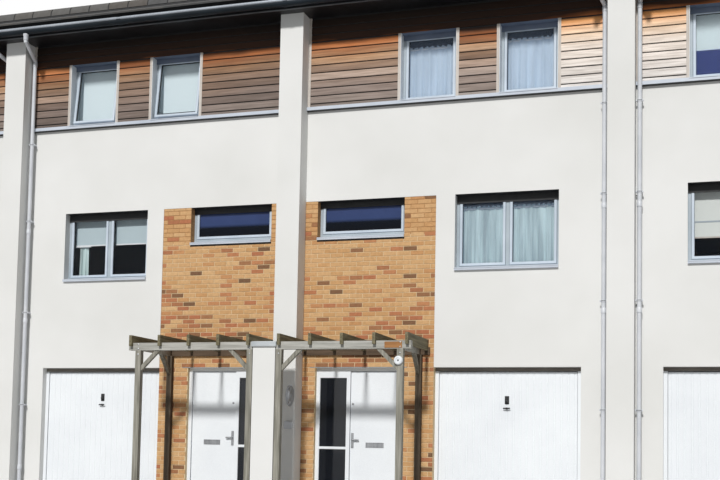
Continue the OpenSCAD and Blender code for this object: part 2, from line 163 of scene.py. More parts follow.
print("the linear value of a middle grey is", round(float(paint(128, 128, 128)[0]), 3))

# %% [markdown]
# ## Light
# One lamp, five degrees wide, stands high in front of the houses and gives shadows with soft edges.
# The sky fills them. Camera, mirror and glass rays see a plain white sky instead of the dimmer fill.

# %% Light and sky
FILL_COLOUR, FILL_STRENGTH = (0.88, 0.94, 1.0, 1), 0.24
LAMP_ENERGY, LAMP_WIDTH, LAMP_COLOUR = 3.0, math.radians(5), (1.0, 0.985, 0.965)
LAMP_AIM = Vector((-0.006, 0.76, -0.585))
world = bpy.data.worlds.new("studio")
bpy.context.scene.world = world
world.use_nodes = True
fill = world.node_tree.nodes["Background"]
fill.inputs["Color"].default_value, fill.inputs["Strength"].default_value = FILL_COLOUR, FILL_STRENGTH
seen = add(world, "Background", {"Color": (1, 1, 1, 1)})
rays = add(world, "LightPath").node.outputs
sees_white = rays["Is Camera Ray"]
for other in ("Is Glossy Ray", "Is Transmission Ray"):
    sees_white = add(world, "Math", {0: sees_white, 1: rays[other]}, operation="ADD", use_clamp=True)
sky = add(world, "MixShader", {0: sees_white, 1: fill.outputs[0], 2: seen})
world.node_tree.links.new(sky, world.node_tree.nodes["World Output"].inputs["Surface"])

lamp = bpy.data.lights.new("key", "SUN")
lamp.energy, lamp.angle, lamp.color = LAMP_ENERGY, LAMP_WIDTH, LAMP_COLOUR
key = bpy.data.objects.new("key", lamp)
bpy.context.collection.objects.link(key)
key.rotation_mode = "QUATERNION"
key.rotation_quaternion = LAMP_AIM.to_track_quat("-Z", "Y")
bpy.context.scene.view_settings.view_transform = "Standard"
print("key lamp", LAMP_ENERGY, "and sky", FILL_STRENGTH)

# %% [markdown]
# ## Finishes
# A finish works on the piece's own Object coordinates, so that its grain has its real size.
# Cloudy noise shades the colour, fine noise makes the roughness and the bump. Where a wall is
# laid from many units, each unit carries a number called tone from 0 to 1, and a colour ramp
# turns that number into one of the colours in which such units are sold.

# %% A whole finish
def surface(name, dark, light, cloud=0.8, grain=0.02, relief=0.0006, rough=(0.5, 0.7), metallic=0.0,
            specular=0.5, stretch=(1, 1, 1), tones=None, marks=None):
    """A finish: cloudy colour from dark to light, or colours by tone, with fine grain and bump."""
    m = bpy.data.materials.new(name)
    m.use_nodes = True
    shader = m.node_tree.nodes["Principled BSDF"]
    shader.inputs["Metallic"].default_value = metallic
    shader.inputs["Specular IOR Level"].default_value = specular
    clouds, fine = speckle(m, cloud, stretch), speckle(m, grain, stretch, 5.0, 0.6)
    colour = ramp(m, clouds, [(0.32, dark), (0.68, light)])
    if tones:
        own = add(m, "Attribute", out=2, attribute_name="tone")
        colour = blend(m, 0.9, ramp(m, own, tones), colour, "MULTIPLY")
    if marks:
        colour = marks(m, colour)
    colour = blend(m, 0.18, colour, ramp(m, fine, [(0.3, (0.35, 0.35, 0.35, 1)), (0.7, (1, 1, 1, 1))]),
                   "MULTIPLY")
    m.node_tree.links.new(colour, shader.inputs["Base Color"])
    m.node_tree.links.new(spread(m, fine, *rough), shader.inputs["Roughness"])
    m.node_tree.links.new(add(m, "Bump", {"Height": fine, "Strength": 1.0, "Distance": relief}),
                          shader.inputs["Normal"])
    return m


def shaded_along(axis, start, stop, stops):
    """Marks for a finish: its colour is multiplied by a ramp from start to stop along one axis."""
    def marks(m, colour):
        place = add(m, "SeparateXYZ", {0: add(m, "TexCoord", out=3)}, out=axis)
        return blend(m, 1.0, colour, ramp(m, spread(m, place, 0.0, 1.0, start, stop), stops), "MULTIPLY")
    return marks


print("a finish drives colour, roughness and bump")

# %% [markdown]
# ## Brick, render and tile
# Bricks and tiles come in mixed packs, so each takes its colour from a ramp by its tone. The wall
# behind the bricks has only to be mortar, and the render is nearly one colour.

# %% Masonry finishes
BRICKS = [(0.0, (214, 172, 124)), (0.25, (204, 158, 108)), (0.50, (218, 178, 130)),
          (0.70, (204, 156, 106)), (0.80, (196, 138, 96)), (0.88, (184, 118, 84)),
          (0.94, (168, 120, 84)), (1.0, (122, 92, 68))]
SOFT, CLEAR = (0.80, 0.78, 0.76, 1), (1, 1, 1, 1)
brick = surface("brick", SOFT, CLEAR, cloud=0.05, grain=0.006, relief=0.0012, rough=(0.75, 0.95),
                specular=0.25, tones=BRICKS)
mortar = surface("mortar", (212, 188, 148), (228, 206, 168), cloud=0.3, grain=0.004,
                 relief=0.001, rough=(0.85, 0.98), specular=0.2)
render = surface("render", (225, 225, 222), (233, 233, 231), cloud=1.7, grain=0.004,
                 relief=0.0009, rough=(0.8, 0.95), specular=0.25)
concrete = surface("concrete", (150, 148, 143), (178, 176, 170), cloud=0.5, grain=0.01,
                   rough=(0.75, 0.9), specular=0.3)
capping = surface("capping", (176, 182, 186), (206, 211, 214), cloud=0.3, grain=0.008,
                  relief=0.0004, rough=(0.4, 0.6))
TILES = [(0.0, (90, 91, 92)), (0.5, (98, 98, 98)), (0.85, (105, 104, 102)), (1.0, (99, 95, 91))]
tile = surface("roof tile", SOFT, CLEAR, cloud=0.12, grain=0.008, relief=0.001, rough=(0.75, 0.95),
               specular=0.25, tones=TILES)
underlay = surface("underlay", (60, 56, 54), (80, 75, 72), cloud=0.4, grain=0.01,
                   rough=(0.8, 0.95), specular=0.2)
# The cheeks of the openings keep the bricks' colour, darker than on the face: the darkening is painted shade.
brick_return_painted_shade = surface("brick return", (168, 126, 84), (196, 152, 106), cloud=0.06, grain=0.005,
                       relief=0.001, rough=(0.8, 0.95), specular=0.2, stretch=(1, 1, 2.2))
print("masonry finishes")

# %% [markdown]
# ## Timber
# Bare boards go grey where sun and rain reach them and stay brown under the eaves. The height of
# a point tells which, so the colour follows it, and no picture is needed. The top boards, from
# about 7.7 m up, are painted dark brown: painted shadow of the eaves.

# %% Timber finishes
def weathering_and_eaves_shade(m, colour):
    """The boards keep their orange brown under the eaves and go grey towards the sill. From about
    7.7 m up both ramps turn dark brown: painted shadow of the eaves. A board whose tone is high
    has bleached all over."""
    place = add(m, "TexCoord", out=3)
    height = add(m, "SeparateXYZ", {0: place}, out=2)
    shelter = spread(m, height, 0.0, 1.0, SECOND_SILL, EAVES)
    patchy = add(m, "Math", {0: shelter, 1: spread(m, speckle(m, 1.6, (1, 1, 3)), -0.05, 0.05)},
                 operation="ADD")
    # The last stops of both ramps paint the eaves' shadow on the top boards dark brown.
    sun = ramp(m, patchy, [(0.0, (156, 144, 136)), (0.20, (172, 154, 144)), (0.40, (194, 164, 142)),
                           (0.52, (208, 164, 126)), (0.68, (214, 132, 76)), (0.75, (64, 38, 22)),
                           (1.0, (36, 24, 16))])
    pale = ramp(m, shelter, [(0.0, (230, 227, 224)), (0.42, (238, 228, 218)), (0.56, (244, 218, 190)),
                             (0.69, (238, 170, 106)), (0.75, (60, 36, 22))])
    bleached = spread(m, add(m, "Attribute", out=2, attribute_name="tone"), 0.0, 0.85, 0.5, 0.9)
    return blend(m, 1.0, colour, blend(m, bleached, sun, pale), "MULTIPLY")


GRAIN_DARK, GRAIN_LIGHT = (0.62, 0.60, 0.58, 1), (1.0, 1.0, 1.0, 1)
board = surface("cladding board", GRAIN_DARK, GRAIN_LIGHT, cloud=0.03, grain=0.006, relief=0.0012,
                rough=(0.65, 0.85), specular=0.3, stretch=(0.06, 1, 1), marks=weathering_and_eaves_shade,
                tones=[(0.0, (0.50, 0.48, 0.47, 1)), (0.45, (0.92, 0.92, 0.92, 1)),
                       (1.0, (1.25, 1.25, 1.25, 1))])
trim = surface("trim", (186, 178, 169), (210, 202, 194), cloud=0.05, grain=0.006,
               stretch=(1, 1, 0.08), rough=(0.6, 0.8))


def grey_timber(name, stretch, dark, light, marks=None):
    """Weathered softwood whose grain runs along the axis that is stretched."""
    return surface(name, dark, light, cloud=0.035, grain=0.005, relief=0.0014,
                   rough=(0.75, 0.92), specular=0.25, stretch=stretch, marks=marks)


# Timber close to the front wall is painted darker brown the nearer it stands to the wall: painted
# shade where the porch's posts and rafters shadow the wall post and plate.
WALL_FACE = -DEPTH / 2
painted_shade_at_wall = shaded_along(1, WALL_FACE - 0.5, WALL_FACE - 0.06,
                            [(0.0, CLEAR), (0.8, (0.60, 0.54, 0.48, 1)), (1.0, (0.26, 0.18, 0.13, 1))])
post_timber = grey_timber("post timber", (1, 1, 0.06), (118, 116, 106), (164, 161, 150), painted_shade_at_wall)
beam_timber = grey_timber("beam timber", (0.06, 1, 1), (150, 149, 142), (190, 189, 182), painted_shade_at_wall)
rafter_timber = grey_timber("rafter timber", (1, 0.06, 1), (94, 88, 66), (136, 128, 104))
new_timber = surface("new timber", (146, 100, 58), (178, 128, 80), cloud=0.03, grain=0.004,
                     stretch=(0.06, 1, 1), rough=(0.6, 0.8), specular=0.3)
print("timber finishes")

# %% [markdown]
# ## Paint, metal and glass
# These are smooth, so colour and shine make the difference. A pane is a thin dark skin, and how
# much it covers settles how well the blind behind it shows.

# %% Paints, metals and plastics
# Head lining is painted shade: a dull dark colour for the shadow under the garage heads.
garage_shade_paint = surface("head lining", (100, 94, 86), (120, 113, 104), cloud=0.5, grain=0.02,
                      relief=0.0002, rough=(0.5, 0.65))


def painted(name, dark, light, cloud=0.6, rough=(0.3, 0.5), relief=0.0002, **more):
    """Smooth paint, plastic or metal: broad clouds of colour, 10 mm grain and hardly any bump."""
    return surface(name, dark, light, cloud=cloud, grain=0.01, relief=relief, rough=rough, **more)


white = painted("white paint", (232, 236, 240), (240, 244, 247), 0.9, (0.28, 0.42))
frame_grey = painted("window grey", (160, 172, 180), (176, 187, 195), 0.5, (0.3, 0.45))
sash_grey = painted("sash grey", (188, 200, 212), (204, 215, 226), 0.5, (0.3, 0.45))
sill_metal = painted("sill metal", (186, 194, 206), (204, 211, 221))
pipe_white = painted("pipe white", (200, 204, 210), (216, 219, 224), 0.4)
black = painted("black board", (24, 24, 26), (36, 36, 38), rough=(0.25, 0.45))
gutter_black = painted("gutter black", (16, 24, 30), (26, 36, 44), rough=(0.28, 0.38), relief=0.0001,
                       specular=0.25)
# Bead metal is painted highlight: the black gutters' rims are made light metallic grey, as they shine in the
# lamp.
painted_highlight_metal = painted("bead metal", (158, 164, 172), (178, 184, 192), rough=(0.24, 0.32),
                     relief=0.0001, metallic=1.0)
matt_black = painted("matt black", (12, 13, 14), (20, 21, 22), 0.4, (0.9, 1.0), specular=0.03)
dark_trim = painted("dark trim", (70, 74, 78), (92, 96, 100), 0.4, (0.4, 0.6))
# Blue-grey is painted shade: the colour of a pale window frame in the shadow of the eaves.
painted_frame_shade = painted("blue grey", (92, 104, 124), (106, 118, 139), 0.4, (0.4, 0.6))
seal = surface("seal", (24, 25, 27), (34, 35, 37), cloud=0.1, grain=0.004, rough=(0.6, 0.8))
steel = surface("steel", (150, 152, 155), (182, 184, 187), cloud=0.05, grain=0.003,
                relief=0.0002, rough=(0.25, 0.4), metallic=1.0, stretch=(1, 1, 0.1))
floor_board = surface("floor board", (92, 68, 48), (124, 96, 68), cloud=0.06, grain=0.006,
                      stretch=(0.08, 1, 1), rough=(0.45, 0.6))
print("paints and metals")

# %% Glass
def pane_glass(name, tint, cover, shine=0.7, marks=None):
    """Clear glass as a thin dark skin: cover is how much of what lies behind it is hidden."""
    m = surface(name, tint, tint, cloud=0.8, grain=0.3, relief=0.0,
                rough=(0.02, 0.05), specular=shine, marks=marks)
    m.node_tree.nodes["Principled BSDF"].inputs["Alpha"].default_value = cover
    return m


glass = pane_glass("window glass", (34, 48, 64), 0.06)
dark_glass = pane_glass("dark glass", (26, 30, 38), 0.62)
# Sky glass has a pale blue-grey tint: painted reflection of the sky.
painted_sky_glass = pane_glass("sky glass", (132, 158, 192), 0.13)

# The last house's upper panes are tinted deep blue below the hem of the blind and pale in front of
# it. The long low panes are tinted blue in the upper half and nearly black below. The blue of both
# is painted reflection of the sky.
HEM = SECOND_SILL + 0.50
painted_blue_glass = pane_glass("blue glass", (200, 214, 218), 0.18, marks=shaded_along(
    2, SECOND_SILL + 0.46, HEM, [(0.0, (0.24, 0.30, 0.88, 1)), (1.0, CLEAR)]))
painted_slot_glass = pane_glass("slot glass", (58, 72, 114), 0.93, 0.12, shaded_along(
    2, SLOT_SILL + 0.08, FIRST_HEAD - 0.1,
    [(0.0, (0.02, 0.03, 0.03, 1)), (0.44, (0.05, 0.07, 0.06, 1)), (0.57, (0.9, 0.95, 0.95, 1)),
     (1.0, CLEAR)]))
print("finishes", len(bpy.data.materials))

# %% [markdown]
# ## Shapes from arrays
# Nearly everything on a house front is a section carried along a line: a board, a sash, a pipe.
# So one helper joins rings of points into a closed skin. A ring runs anticlockwise when the last
# ring faces the reader, which makes every face point outwards.

# %% Rings and joins
def squares(rows, cols, close_rows=False, close_cols=True):
    """Corner numbers of the squares between neighbours in a rows by cols grid of points."""
    r = np.arange(rows if close_rows else rows - 1)[:, None]
    c = np.arange(cols if close_cols else cols - 1)[None, :]
    r2, c2 = (r + 1) % rows, (c + 1) % cols
    return np.stack([r * cols + c, r * cols + c2, r2 * cols + c2, r2 * cols + c], -1).reshape(-1, 4)


def loft(rings, tone=0.5):
    """Closed skins over many pieces at once: rings has the shape (pieces, rings, points, 3).
    Squares join each ring to the next, and one flat face closes each end."""
    rings = np.asarray(rings, float)
    count, k, m = rings.shape[:3]
    ends = [np.arange(m)[None, ::-1], np.arange(m)[None, :] + (k - 1) * m]
    step = (np.arange(count) * k * m)[:, None, None]
    faces = [(f[None] + step).reshape(-1, f.shape[1]) for f in [squares(k, m)] + ends]
    return rings.reshape(-1, 3), faces, np.repeat(np.broadcast_to(tone, count), k * m)


def join(forms):
    """Several forms as one: their corner numbers move up past the points before them."""
    faces, count = [], 0
    for points, corners, _ in forms:
        faces += [f + count for f in corners]
        count += len(points)
    return np.concatenate([f[0] for f in forms]), faces, np.concatenate([f[2] for f in forms])


def moved(form, points):
    """The same form with new places for its points."""
    return points, form[1], form[2]


def flipped(form):
    """The same form with its faces turned round, for use after a mirror."""
    return form[0], [f[:, ::-1] for f in form[1]], form[2]


print("squares round one box:", squares(2, 4).tolist())

# %% Onto the houses, and into Blender
def on_row(form, houses=(0, 1, 2, 3), back=False):
    """A form in one house's (u, y, z) set into the houses: x is start plus hand times u, and the
    back wall counts y from the far face. Each mirror turns the faces, so they are turned back."""
    out = []
    for i in houses:
        p = form[0].copy()
        p[:, 0] = START[i] + HAND[i] * p[:, 0]
        p[:, 1] = (DEPTH - p[:, 1] if back else p[:, 1]) - DEPTH / 2
        made = moved(form, p)
        out.append(flipped(made) if (HAND[i] < 0) != back else made)
    return join(out)


def piece(name, form, material, body=BODY, angle=35):
    """Puts a form into an object that rides on a body. Edges flatter than angle are smoothed."""
    points, faces, tones = form
    sizes = np.concatenate([np.full(len(f), f.shape[1]) for f in faces])
    corners = np.concatenate([f.ravel() for f in faces])
    mesh = bpy.data.meshes.new(name)
    mesh.vertices.add(len(points))
    mesh.vertices.foreach_set("co", points.astype(np.float32).ravel())
    mesh.loops.add(len(corners))
    mesh.loops.foreach_set("vertex_index", corners.astype(np.int32))
    mesh.polygons.add(len(sizes))
    mesh.polygons.foreach_set("loop_start", (np.cumsum(sizes) - sizes).astype(np.int32))
    mesh.update(calc_edges=True)
    mesh.attributes.new("tone", "FLOAT", "POINT").data.foreach_set("value", tones.astype(np.float32))
    mesh.polygons.foreach_set("use_smooth", np.ones(len(sizes), bool))
    mesh.set_sharp_from_angle(angle=math.radians(angle))
    mesh.materials.append(material)
    thing = bpy.data.objects.new(name, mesh)
    bpy.context.collection.objects.link(thing)
    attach(thing, body)
    print(name, len(sizes), "faces")
    return thing


def coat(material, *nodes):
    """Gives CAD nodes a finish through their material slots."""
    for node in nodes:
        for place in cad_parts[node].material_slots:
            place.material = material


print("houses start at", START, "and are handed", HAND)

# %% [markdown]
# ## Bars, rims, runs and turned shapes
# Sawn and folded edges are never quite sharp. A bevel of a few millimetres catches the light, so
# each of these shapes can have one.

# %% Bars, rims, runs and turned shapes
CORNER_U, INSET_U = np.array([0, 1, 1, 1, 1, 0, 0, 0]), np.array([1, 1, 0, 0, 1, 1, 0, 0])
CORNER_Z, INSET_Z = np.array([0, 0, 0, 1, 1, 1, 1, 0]), np.array([0, 0, 1, 1, 0, 0, 1, 1])


def bars(boxes, bevel=0.003):
    """Boxes (u0, u1, y0, y1, z0, z1) with every edge cut off by bevel: four rings of eight points
    from back to front, the outer two drawn in by the bevel."""
    b = np.atleast_2d(np.asarray(boxes, float))[:, :, None, None]
    extra = bevel * np.array([1, 0, 0, 1])[:, None]
    iu, iz = bevel * INSET_U + extra, bevel * INSET_Z + extra
    u = np.where(CORNER_U, b[:, 1] - iu, b[:, 0] + iu)
    z = np.where(CORNER_Z, b[:, 5] - iz, b[:, 4] + iz)
    depth = np.concatenate([b[:, 3], b[:, 3] - bevel, b[:, 2] + bevel, b[:, 2]], 1)
    return loft(np.stack([u, np.broadcast_to(depth, u.shape), z], -1))


def slips(boxes, bevel, tone):
    """Boxes with a bevelled front only, for small units laid by the thousand: ten faces each."""
    b = np.atleast_2d(np.asarray(boxes, float))[:, :, None, None]
    inset = bevel * np.array([0, 0, 1])[:, None]
    u = np.where(np.array([0, 1, 1, 0]), b[:, 1] - inset, b[:, 0] + inset)
    z = np.where(np.array([0, 0, 1, 1]), b[:, 5] - inset, b[:, 4] + inset)
    depth = np.concatenate([b[:, 3], b[:, 2] + bevel, b[:, 2]], 1)
    return loft(np.stack([u, np.broadcast_to(depth, u.shape), z], -1), tone)


def rim(u0, u1, z0, z1, y0, y1, near, far, bevel=0.003):
    """A bar carried round a rectangle with mitred corners: its section goes from near to far
    inside the rectangle's edge and from y0 to y1 in depth, with its four edges cut off."""
    y = np.where(CORNER_U, y1 - bevel * INSET_U, y0 + bevel * INSET_U)
    inset = np.where(CORNER_Z, far - bevel * INSET_Z, near + bevel * INSET_Z)
    side_u, side_z = np.array([0, 1, 1, 0])[:, None], np.array([0, 0, 1, 1])[:, None]
    u = np.where(side_u, u1 - inset, u0 + inset)
    z = np.where(side_z, z1 - inset, z0 + inset)
    points = np.stack([u, np.broadcast_to(y, u.shape), z], -1).reshape(-1, 3)
    return points, [squares(4, 8, close_rows=True)], np.full(len(points), 0.5)


def run(section, starts, ends, tone=0.5):
    """A section of (y, z) points, anticlockwise, carried along u from each start to each end."""
    s = np.asarray(section, float)
    u = np.stack([np.atleast_1d(starts), np.atleast_1d(ends)], 1)[:, :, None]
    shape = (u.shape[0], 2, len(s))
    rings = np.stack([np.broadcast_to(u, shape), np.broadcast_to(s[:, 0], shape),
                      np.broadcast_to(s[:, 1], shape)], -1)
    return loft(rings, tone)


def both_faces(form):
    """A form on the front, and the same turned half round for the back, pressed flat where it
    would stand out past the CAD box."""
    p = form[0] - [0, DEPTH / 2, 0]
    turned_back = p * [-1, -1, 1]
    turned_back[:, 1] = np.minimum(turned_back[:, 1], cad_box[1][1] - 0.0002)
    return join([moved(form, p), moved(form, turned_back)])


AXES = {"x": np.array([[0, 1, 0], [0, 0, 1], [1, 0, 0]]), "z": np.array([[1, 0, 0], [0, 1, 0], [0, 0, 1]]),
        "-y": np.array([[1, 0, 0], [0, 0, 1], [0, -1, 0]])}


def turned(profile, places, axis="z", sides=20):
    """A profile of (radius, height) points spun round an axis, and set at each place. The height
    grows along the axis, and each ring is a circle of the given number of sides."""
    p = np.asarray(profile, float)
    turn = np.linspace(0, 2 * np.pi, sides, endpoint=False)
    ring = np.stack([p[:, :1] * np.cos(turn), p[:, :1] * np.sin(turn),
                     np.broadcast_to(p[:, 1:], (len(p), sides))], -1) @ AXES[axis]
    return loft(ring[None] + np.atleast_2d(np.asarray(places, float))[:, None, None, :])


print("shape helpers ready")

# %% [markdown]
# ## Brickwork
# The brick panel is half-lap stretcher bond: courses of 75 mm, bricks of 215 by 65 mm with 10 mm
# joints. Real joints are recessed a little, so each brick is a thin slip that stands 6 mm in
# front of the wall, and the wall behind it is the mortar. A hole in the wall cuts the bricks of
# its courses: a brick keeps what is left of it on either side. The real wall has its red and dark
# bricks in patches, so two sine waves across the wall gather them.

# %% Lay the bricks
COURSE, STRETCHER, JOINT, BRICK_PROUD = 0.075, 0.225, 0.010, 0.006
EDGE_GAP, SHORTEST, THINNEST = 0.002, 0.025, 0.02
SINK = 0.002  # how far a brick goes into the mortar behind it
DARKER_BELOW = 3.6


def brick_courses(u0, u1, z0, z1, holes):
    """Brick boxes in half-lap bond between u0 and u1, without the parts inside holes."""
    rows, cols = math.ceil((z1 - z0) / COURSE), math.ceil((u1 - u0) / STRETCHER) + 1
    row, col = np.divmod(np.arange(rows * cols), cols)
    left = u0 + (col - 0.5 * (row % 2)) * STRETCHER
    low = z0 + row * COURSE + JOINT / 2
    bricks = np.stack([left, left + STRETCHER - JOINT, low, low + COURSE - JOINT], 1)
    for h0, h1, hz0, hz1 in holes:
        beside = (bricks[:, 3] < hz0) | (bricks[:, 2] > hz1)
        before, after = bricks[~beside].copy(), bricks[~beside].copy()
        before[:, 1] = np.minimum(before[:, 1], h0)
        after[:, 0] = np.maximum(after[:, 0], h1)
        bricks = np.concatenate([bricks[beside], before, after])
    bricks[:, 0] = np.maximum(bricks[:, 0], u0)
    bricks[:, 1] = np.minimum(bricks[:, 1], u1 - EDGE_GAP)
    bricks[:, 3] = np.minimum(bricks[:, 3], z1 - EDGE_GAP)
    return bricks[(bricks[:, 1] - bricks[:, 0] > SHORTEST) & (bricks[:, 3] - bricks[:, 2] > THINNEST)]


face = brick_courses(PIER, BRICK_EDGE, 0, FIRST_HEAD,
                     [(*ENTRANCE, 0, GROUND_HEAD), (*SLOT, SLOT_SILL, FIRST_HEAD)])
walls = []
for house in range(4):
    front = BRICK_FACE - BRICK_PROUD + dice.uniform(-0.001, 0.001, len(face))
    left, right_end, low, high = face.T
    boxes = np.stack([left, right_end, front, np.full(len(face), BRICK_FACE + SINK), low, high], 1)
    patch = np.sin(2.1 * low + 1.3 * house) + np.sin(3.7 * low - 2.4 * left + house)
    tone = dice.uniform(0, 1, len(face)) ** (1.25 - 0.4 * patch - 0.25 * (low < DARKER_BELOW))
    walls.append(on_row(slips(boxes, 0.0025, np.clip(tone, 0, 1)), (house,)))
piece("brick_courses", join(walls), brick)
coat(mortar, "brick_jambs", "brick_bands")
coat(brick_return_painted_shade, "brick_cheeks")

# %% [markdown]
# ## Rendered walls, piers and floors
# The render is a fine sprayed plaster, so a shallow bump and a very slight cloudiness are all it
# needs. The shapes are the CAD model's own.

# %% Coat the plain walls
coat(render, "party_walls", "party_piers", "render_jambs", "render_low", "render_cheeks",
     "render_bands", "upper_piers", "upper_heads", "porch_piers")
coat(concrete, "ground_floor", "hall_floor")
coat(floor_board, "first_floor", "second_floor")
coat(sill_metal, "metal_sills")
coat(white, "garage_posts", "garage_rails", "entrance_posts", "entrance_rails")
coat(pipe_white, "downpipes")
coat(black, "eaves_boards")
coat(gutter_black, "gutters")
coat(steel, *[f"garage_bar_{k}" for k in range(1, 5)])
coat(white, *[f"garage_door_{k}" for k in range(1, 5)], *[f"front_door_{k}" for k in range(1, 5)])
coat(post_timber, "porch_posts", "porch_braces")
coat(beam_timber, "porch_beams")
coat(rafter_timber, "porch_rafters")
coat(underlay, "roof_front", "roof_back")
CAP_HALF, CAP_Y, CAP_Z = 0.208, (-1.233, -0.797), (2.489, 2.567)
cap_form = bars([(x - CAP_HALF, x + CAP_HALF, *CAP_Y, *CAP_Z) for x in (-2 * WIDTH, 0, 2 * WIDTH)], 0.006)
piece("pier_caps", moved(cap_form, cap_form[0] - [0, DEPTH / 2, 0]), capping)

# %% [markdown]
# ## Timber cladding
# Boards 130.5 mm apart lie between the metal strip and the soffit. Each one leans out a little
# towards its lower edge, and an 18 mm gap under it shows the dark membrane. Upright trims close
# the ends of the boards beside the windows and the piers.

# %% Nail on the boards
BOARDS, GAP, TRIM, BOARD_STEP = 13, 0.018, 0.045, 0.1305
FIRST_GAP = SECOND_SILL + 0.06
TONES, BLEACHED_TONE, BLEACHED_FROM = (0.26, 0.12, 0.36, 0.55), 0.98, 4
bays = [(PIER, INNER[0]), (INNER[1], OUTER[0]), (OUTER[1], WIDTH - PIER)]


def cladding(u0, u1, z0, z1, tone, varied=0.15):
    """The boards of one bay between two heights: a leaning section with rounded edges. Each board
    draws its own tone about the bay's."""
    made = []
    for k in range(BOARDS):
        low = max(FIRST_GAP + (k - 1) * BOARD_STEP + GAP / 2, z0)
        high = min(FIRST_GAP + k * BOARD_STEP - GAP / 2, z1)
        if high - low > 0.02:
            section = [(-0.007, low), (-0.007, high), (-0.018, high), (-0.021, high - 0.004),
                       (-0.025, low + 0.004), (-0.022, low)]
            made.append(run(section[::-1], u0, u1, np.clip(dice.normal(tone, varied), 0, 1)))
    return join(made)


boards = []
for house in range(4):
    for u0, u1 in bays:
        tone = BLEACHED_TONE if house > 1 and u0 > BLEACHED_FROM else TONES[house]
        boards.append(on_row(cladding(u0 + TRIM, u1 - TRIM, SECOND_SILL, SECOND_HEAD, tone), (house,)))
    over = cladding(PIER + TRIM, WIDTH - PIER - TRIM, SECOND_HEAD, EAVES, 0.3, 0.08)
    boards.append(on_row(over, (house,)))
cladding_boards = piece("cladding_boards", join(boards), board, angle=20)
trims = [(u0, u1, -0.028, 0, SECOND_SILL, EAVES if outer else SECOND_HEAD)
         for (a, b) in bays for u0, u1, outer in ((a, a + TRIM, a == PIER), (b - TRIM, b, b > 5))]
piece("cladding_trims", on_row(bars(trims, 0.002)), trim)
membrane = [(PIER, WIDTH - PIER, -0.006, 0, SECOND_HEAD, EAVES)] + [
    (a, b, -0.006, 0, SECOND_SILL, SECOND_HEAD) for a, b in bays]
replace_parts(cladding_boards, "timber_boarding")
# The dark strip under the metal strip at the foot of the boards is painted shade: the shadow under the
# strip's drip.
drip_shade = [(PIER, WIDTH - PIER, -0.052, -0.001, SECOND_SILL - 0.069, SECOND_SILL - 0.0545)]
piece("cladding_membrane", on_row(bars(membrane + drip_shade, 0.001)), seal)

# %% [markdown]
# ## Windows
# A casement window is three nested rims: the fixed frame, the sash inside it and a dark rubber
# seal round the glass. A rim is one section carried round a rectangle, which gives true mitred
# corners. The top-floor windows of the second house stand ajar, hung from their heads.

# %% Window parts
FRAME_BAR, SASH_BAR, MULLION, SEAL_BAR = 0.045, 0.045, 0.15, 0.006
FRAME_BACK, SASH_PROUD, SASH_BACK = RECESS + 0.07, 0.010, RECESS + 0.058
AJAR = math.radians(7.5)
parts = defaultdict(list)  # the forms of all windows, gathered by what they are


def lights_of(u0, u1, count):
    """The equal panes of a window, each from left to right: a frame bar and a sash bar stand at
    each end of the window, and a mullion between two panes."""
    edge = FRAME_BAR + SASH_BAR
    light = (u1 - u0 - 2 * edge - MULLION * (count - 1)) / count
    starts = [u0 + edge + i * (light + MULLION) for i in range(count)]
    return [(start, start + light) for start in starts]


def hung_open(form, top, y):
    """Turns a form about a level line at height top so that its lower edge swings outwards."""
    p = form[0].copy()
    down, out = p[:, 2] - top, p[:, 1] - y
    p[:, 1] = y + out * math.cos(AJAR) + down * math.sin(AJAR)
    p[:, 2] = top + down * math.cos(AJAR) - out * math.sin(AJAR)
    return moved(form, p)


def window(u0, u1, z0, z1, count, houses=(0, 1, 2, 3), back=False, ajar=False, kind="panes"):
    """Adds one window: frame, mullions, and a sash, seal and pane in each light."""
    def keep(group, form):
        parts[group].append(on_row(form, houses, back))

    keep("frames", rim(u0, u1, z0, z1, RECESS, FRAME_BACK, 0, FRAME_BAR))
    lights, edge = lights_of(u0, u1, count), FRAME_BAR + SASH_BAR
    for (_, a), (b, _) in zip(lights, lights[1:]):
        keep("frames", bars([(a + SASH_BAR, b - SASH_BAR, RECESS, FRAME_BACK, z0 + 0.04, z1 - 0.04)], 0.003))
    for a, b in lights:
        low, high = z0 + edge, z1 - edge
        sash = rim(a - SASH_BAR, b + SASH_BAR, low - SASH_BAR, high + SASH_BAR, RECESS - SASH_PROUD,
                   SASH_BACK, 0.003, SASH_BAR + 0.002, 0.006)
        rubber = rim(a - 0.001, b + 0.001, low - 0.001, high + 0.001, RECESS + 0.012, RECESS + 0.05,
                     0, SEAL_BAR, 0.001)
        pane = bars([(a - 0.002, b + 0.002, RECESS + 0.021, RECESS + 0.045,
                      low - 0.002, high + 0.002)], 0.002)
        if ajar:
            hinge = z1 - FRAME_BAR
            sash, rubber, pane = [hung_open(f, hinge, RECESS) for f in (sash, rubber, pane)]
            foot, length = z0 + 0.30, 0.45 * (z1 - z0)
            for u in (a - 0.03, b + 0.016):
                stay = bars([(u, u + 0.014, RECESS + 0.004, RECESS + 0.012, foot, foot + length)], 0.002)
                keep("stays", hung_open(stay, hinge, RECESS + 0.03))
        keep("sashes", sash)
        keep("seals", rubber)
        keep(kind, pane)


print("panes of the wide window:", np.round(lights_of(*WIDE, 2), 3).tolist())

# %% Painted head shades and linings of a recess
COVER = 0.004  # thickness of a head cover's strip


def painted_head_shade(u0, u1, z1, face, low, group="heads", clear=0.0105):
    """A dark plate under the head of a window recess, with a strip turned down in front of its frame:
    painted shade where the head shadows the top of the window. The strip stands clear of the
    frame's face, so that a sash can swing behind it."""
    front = RECESS - clear - COVER
    plates = [(u0 + 0.001, u1 - 0.001, face + 0.002, front + COVER, z1 - 0.003, z1 - 0.0005),
              (u0 + 0.001, u1 - 0.001, front, front + COVER, z1 - low, z1 - 0.003)]
    parts[group].append(on_row(bars(plates, 0.0008)))


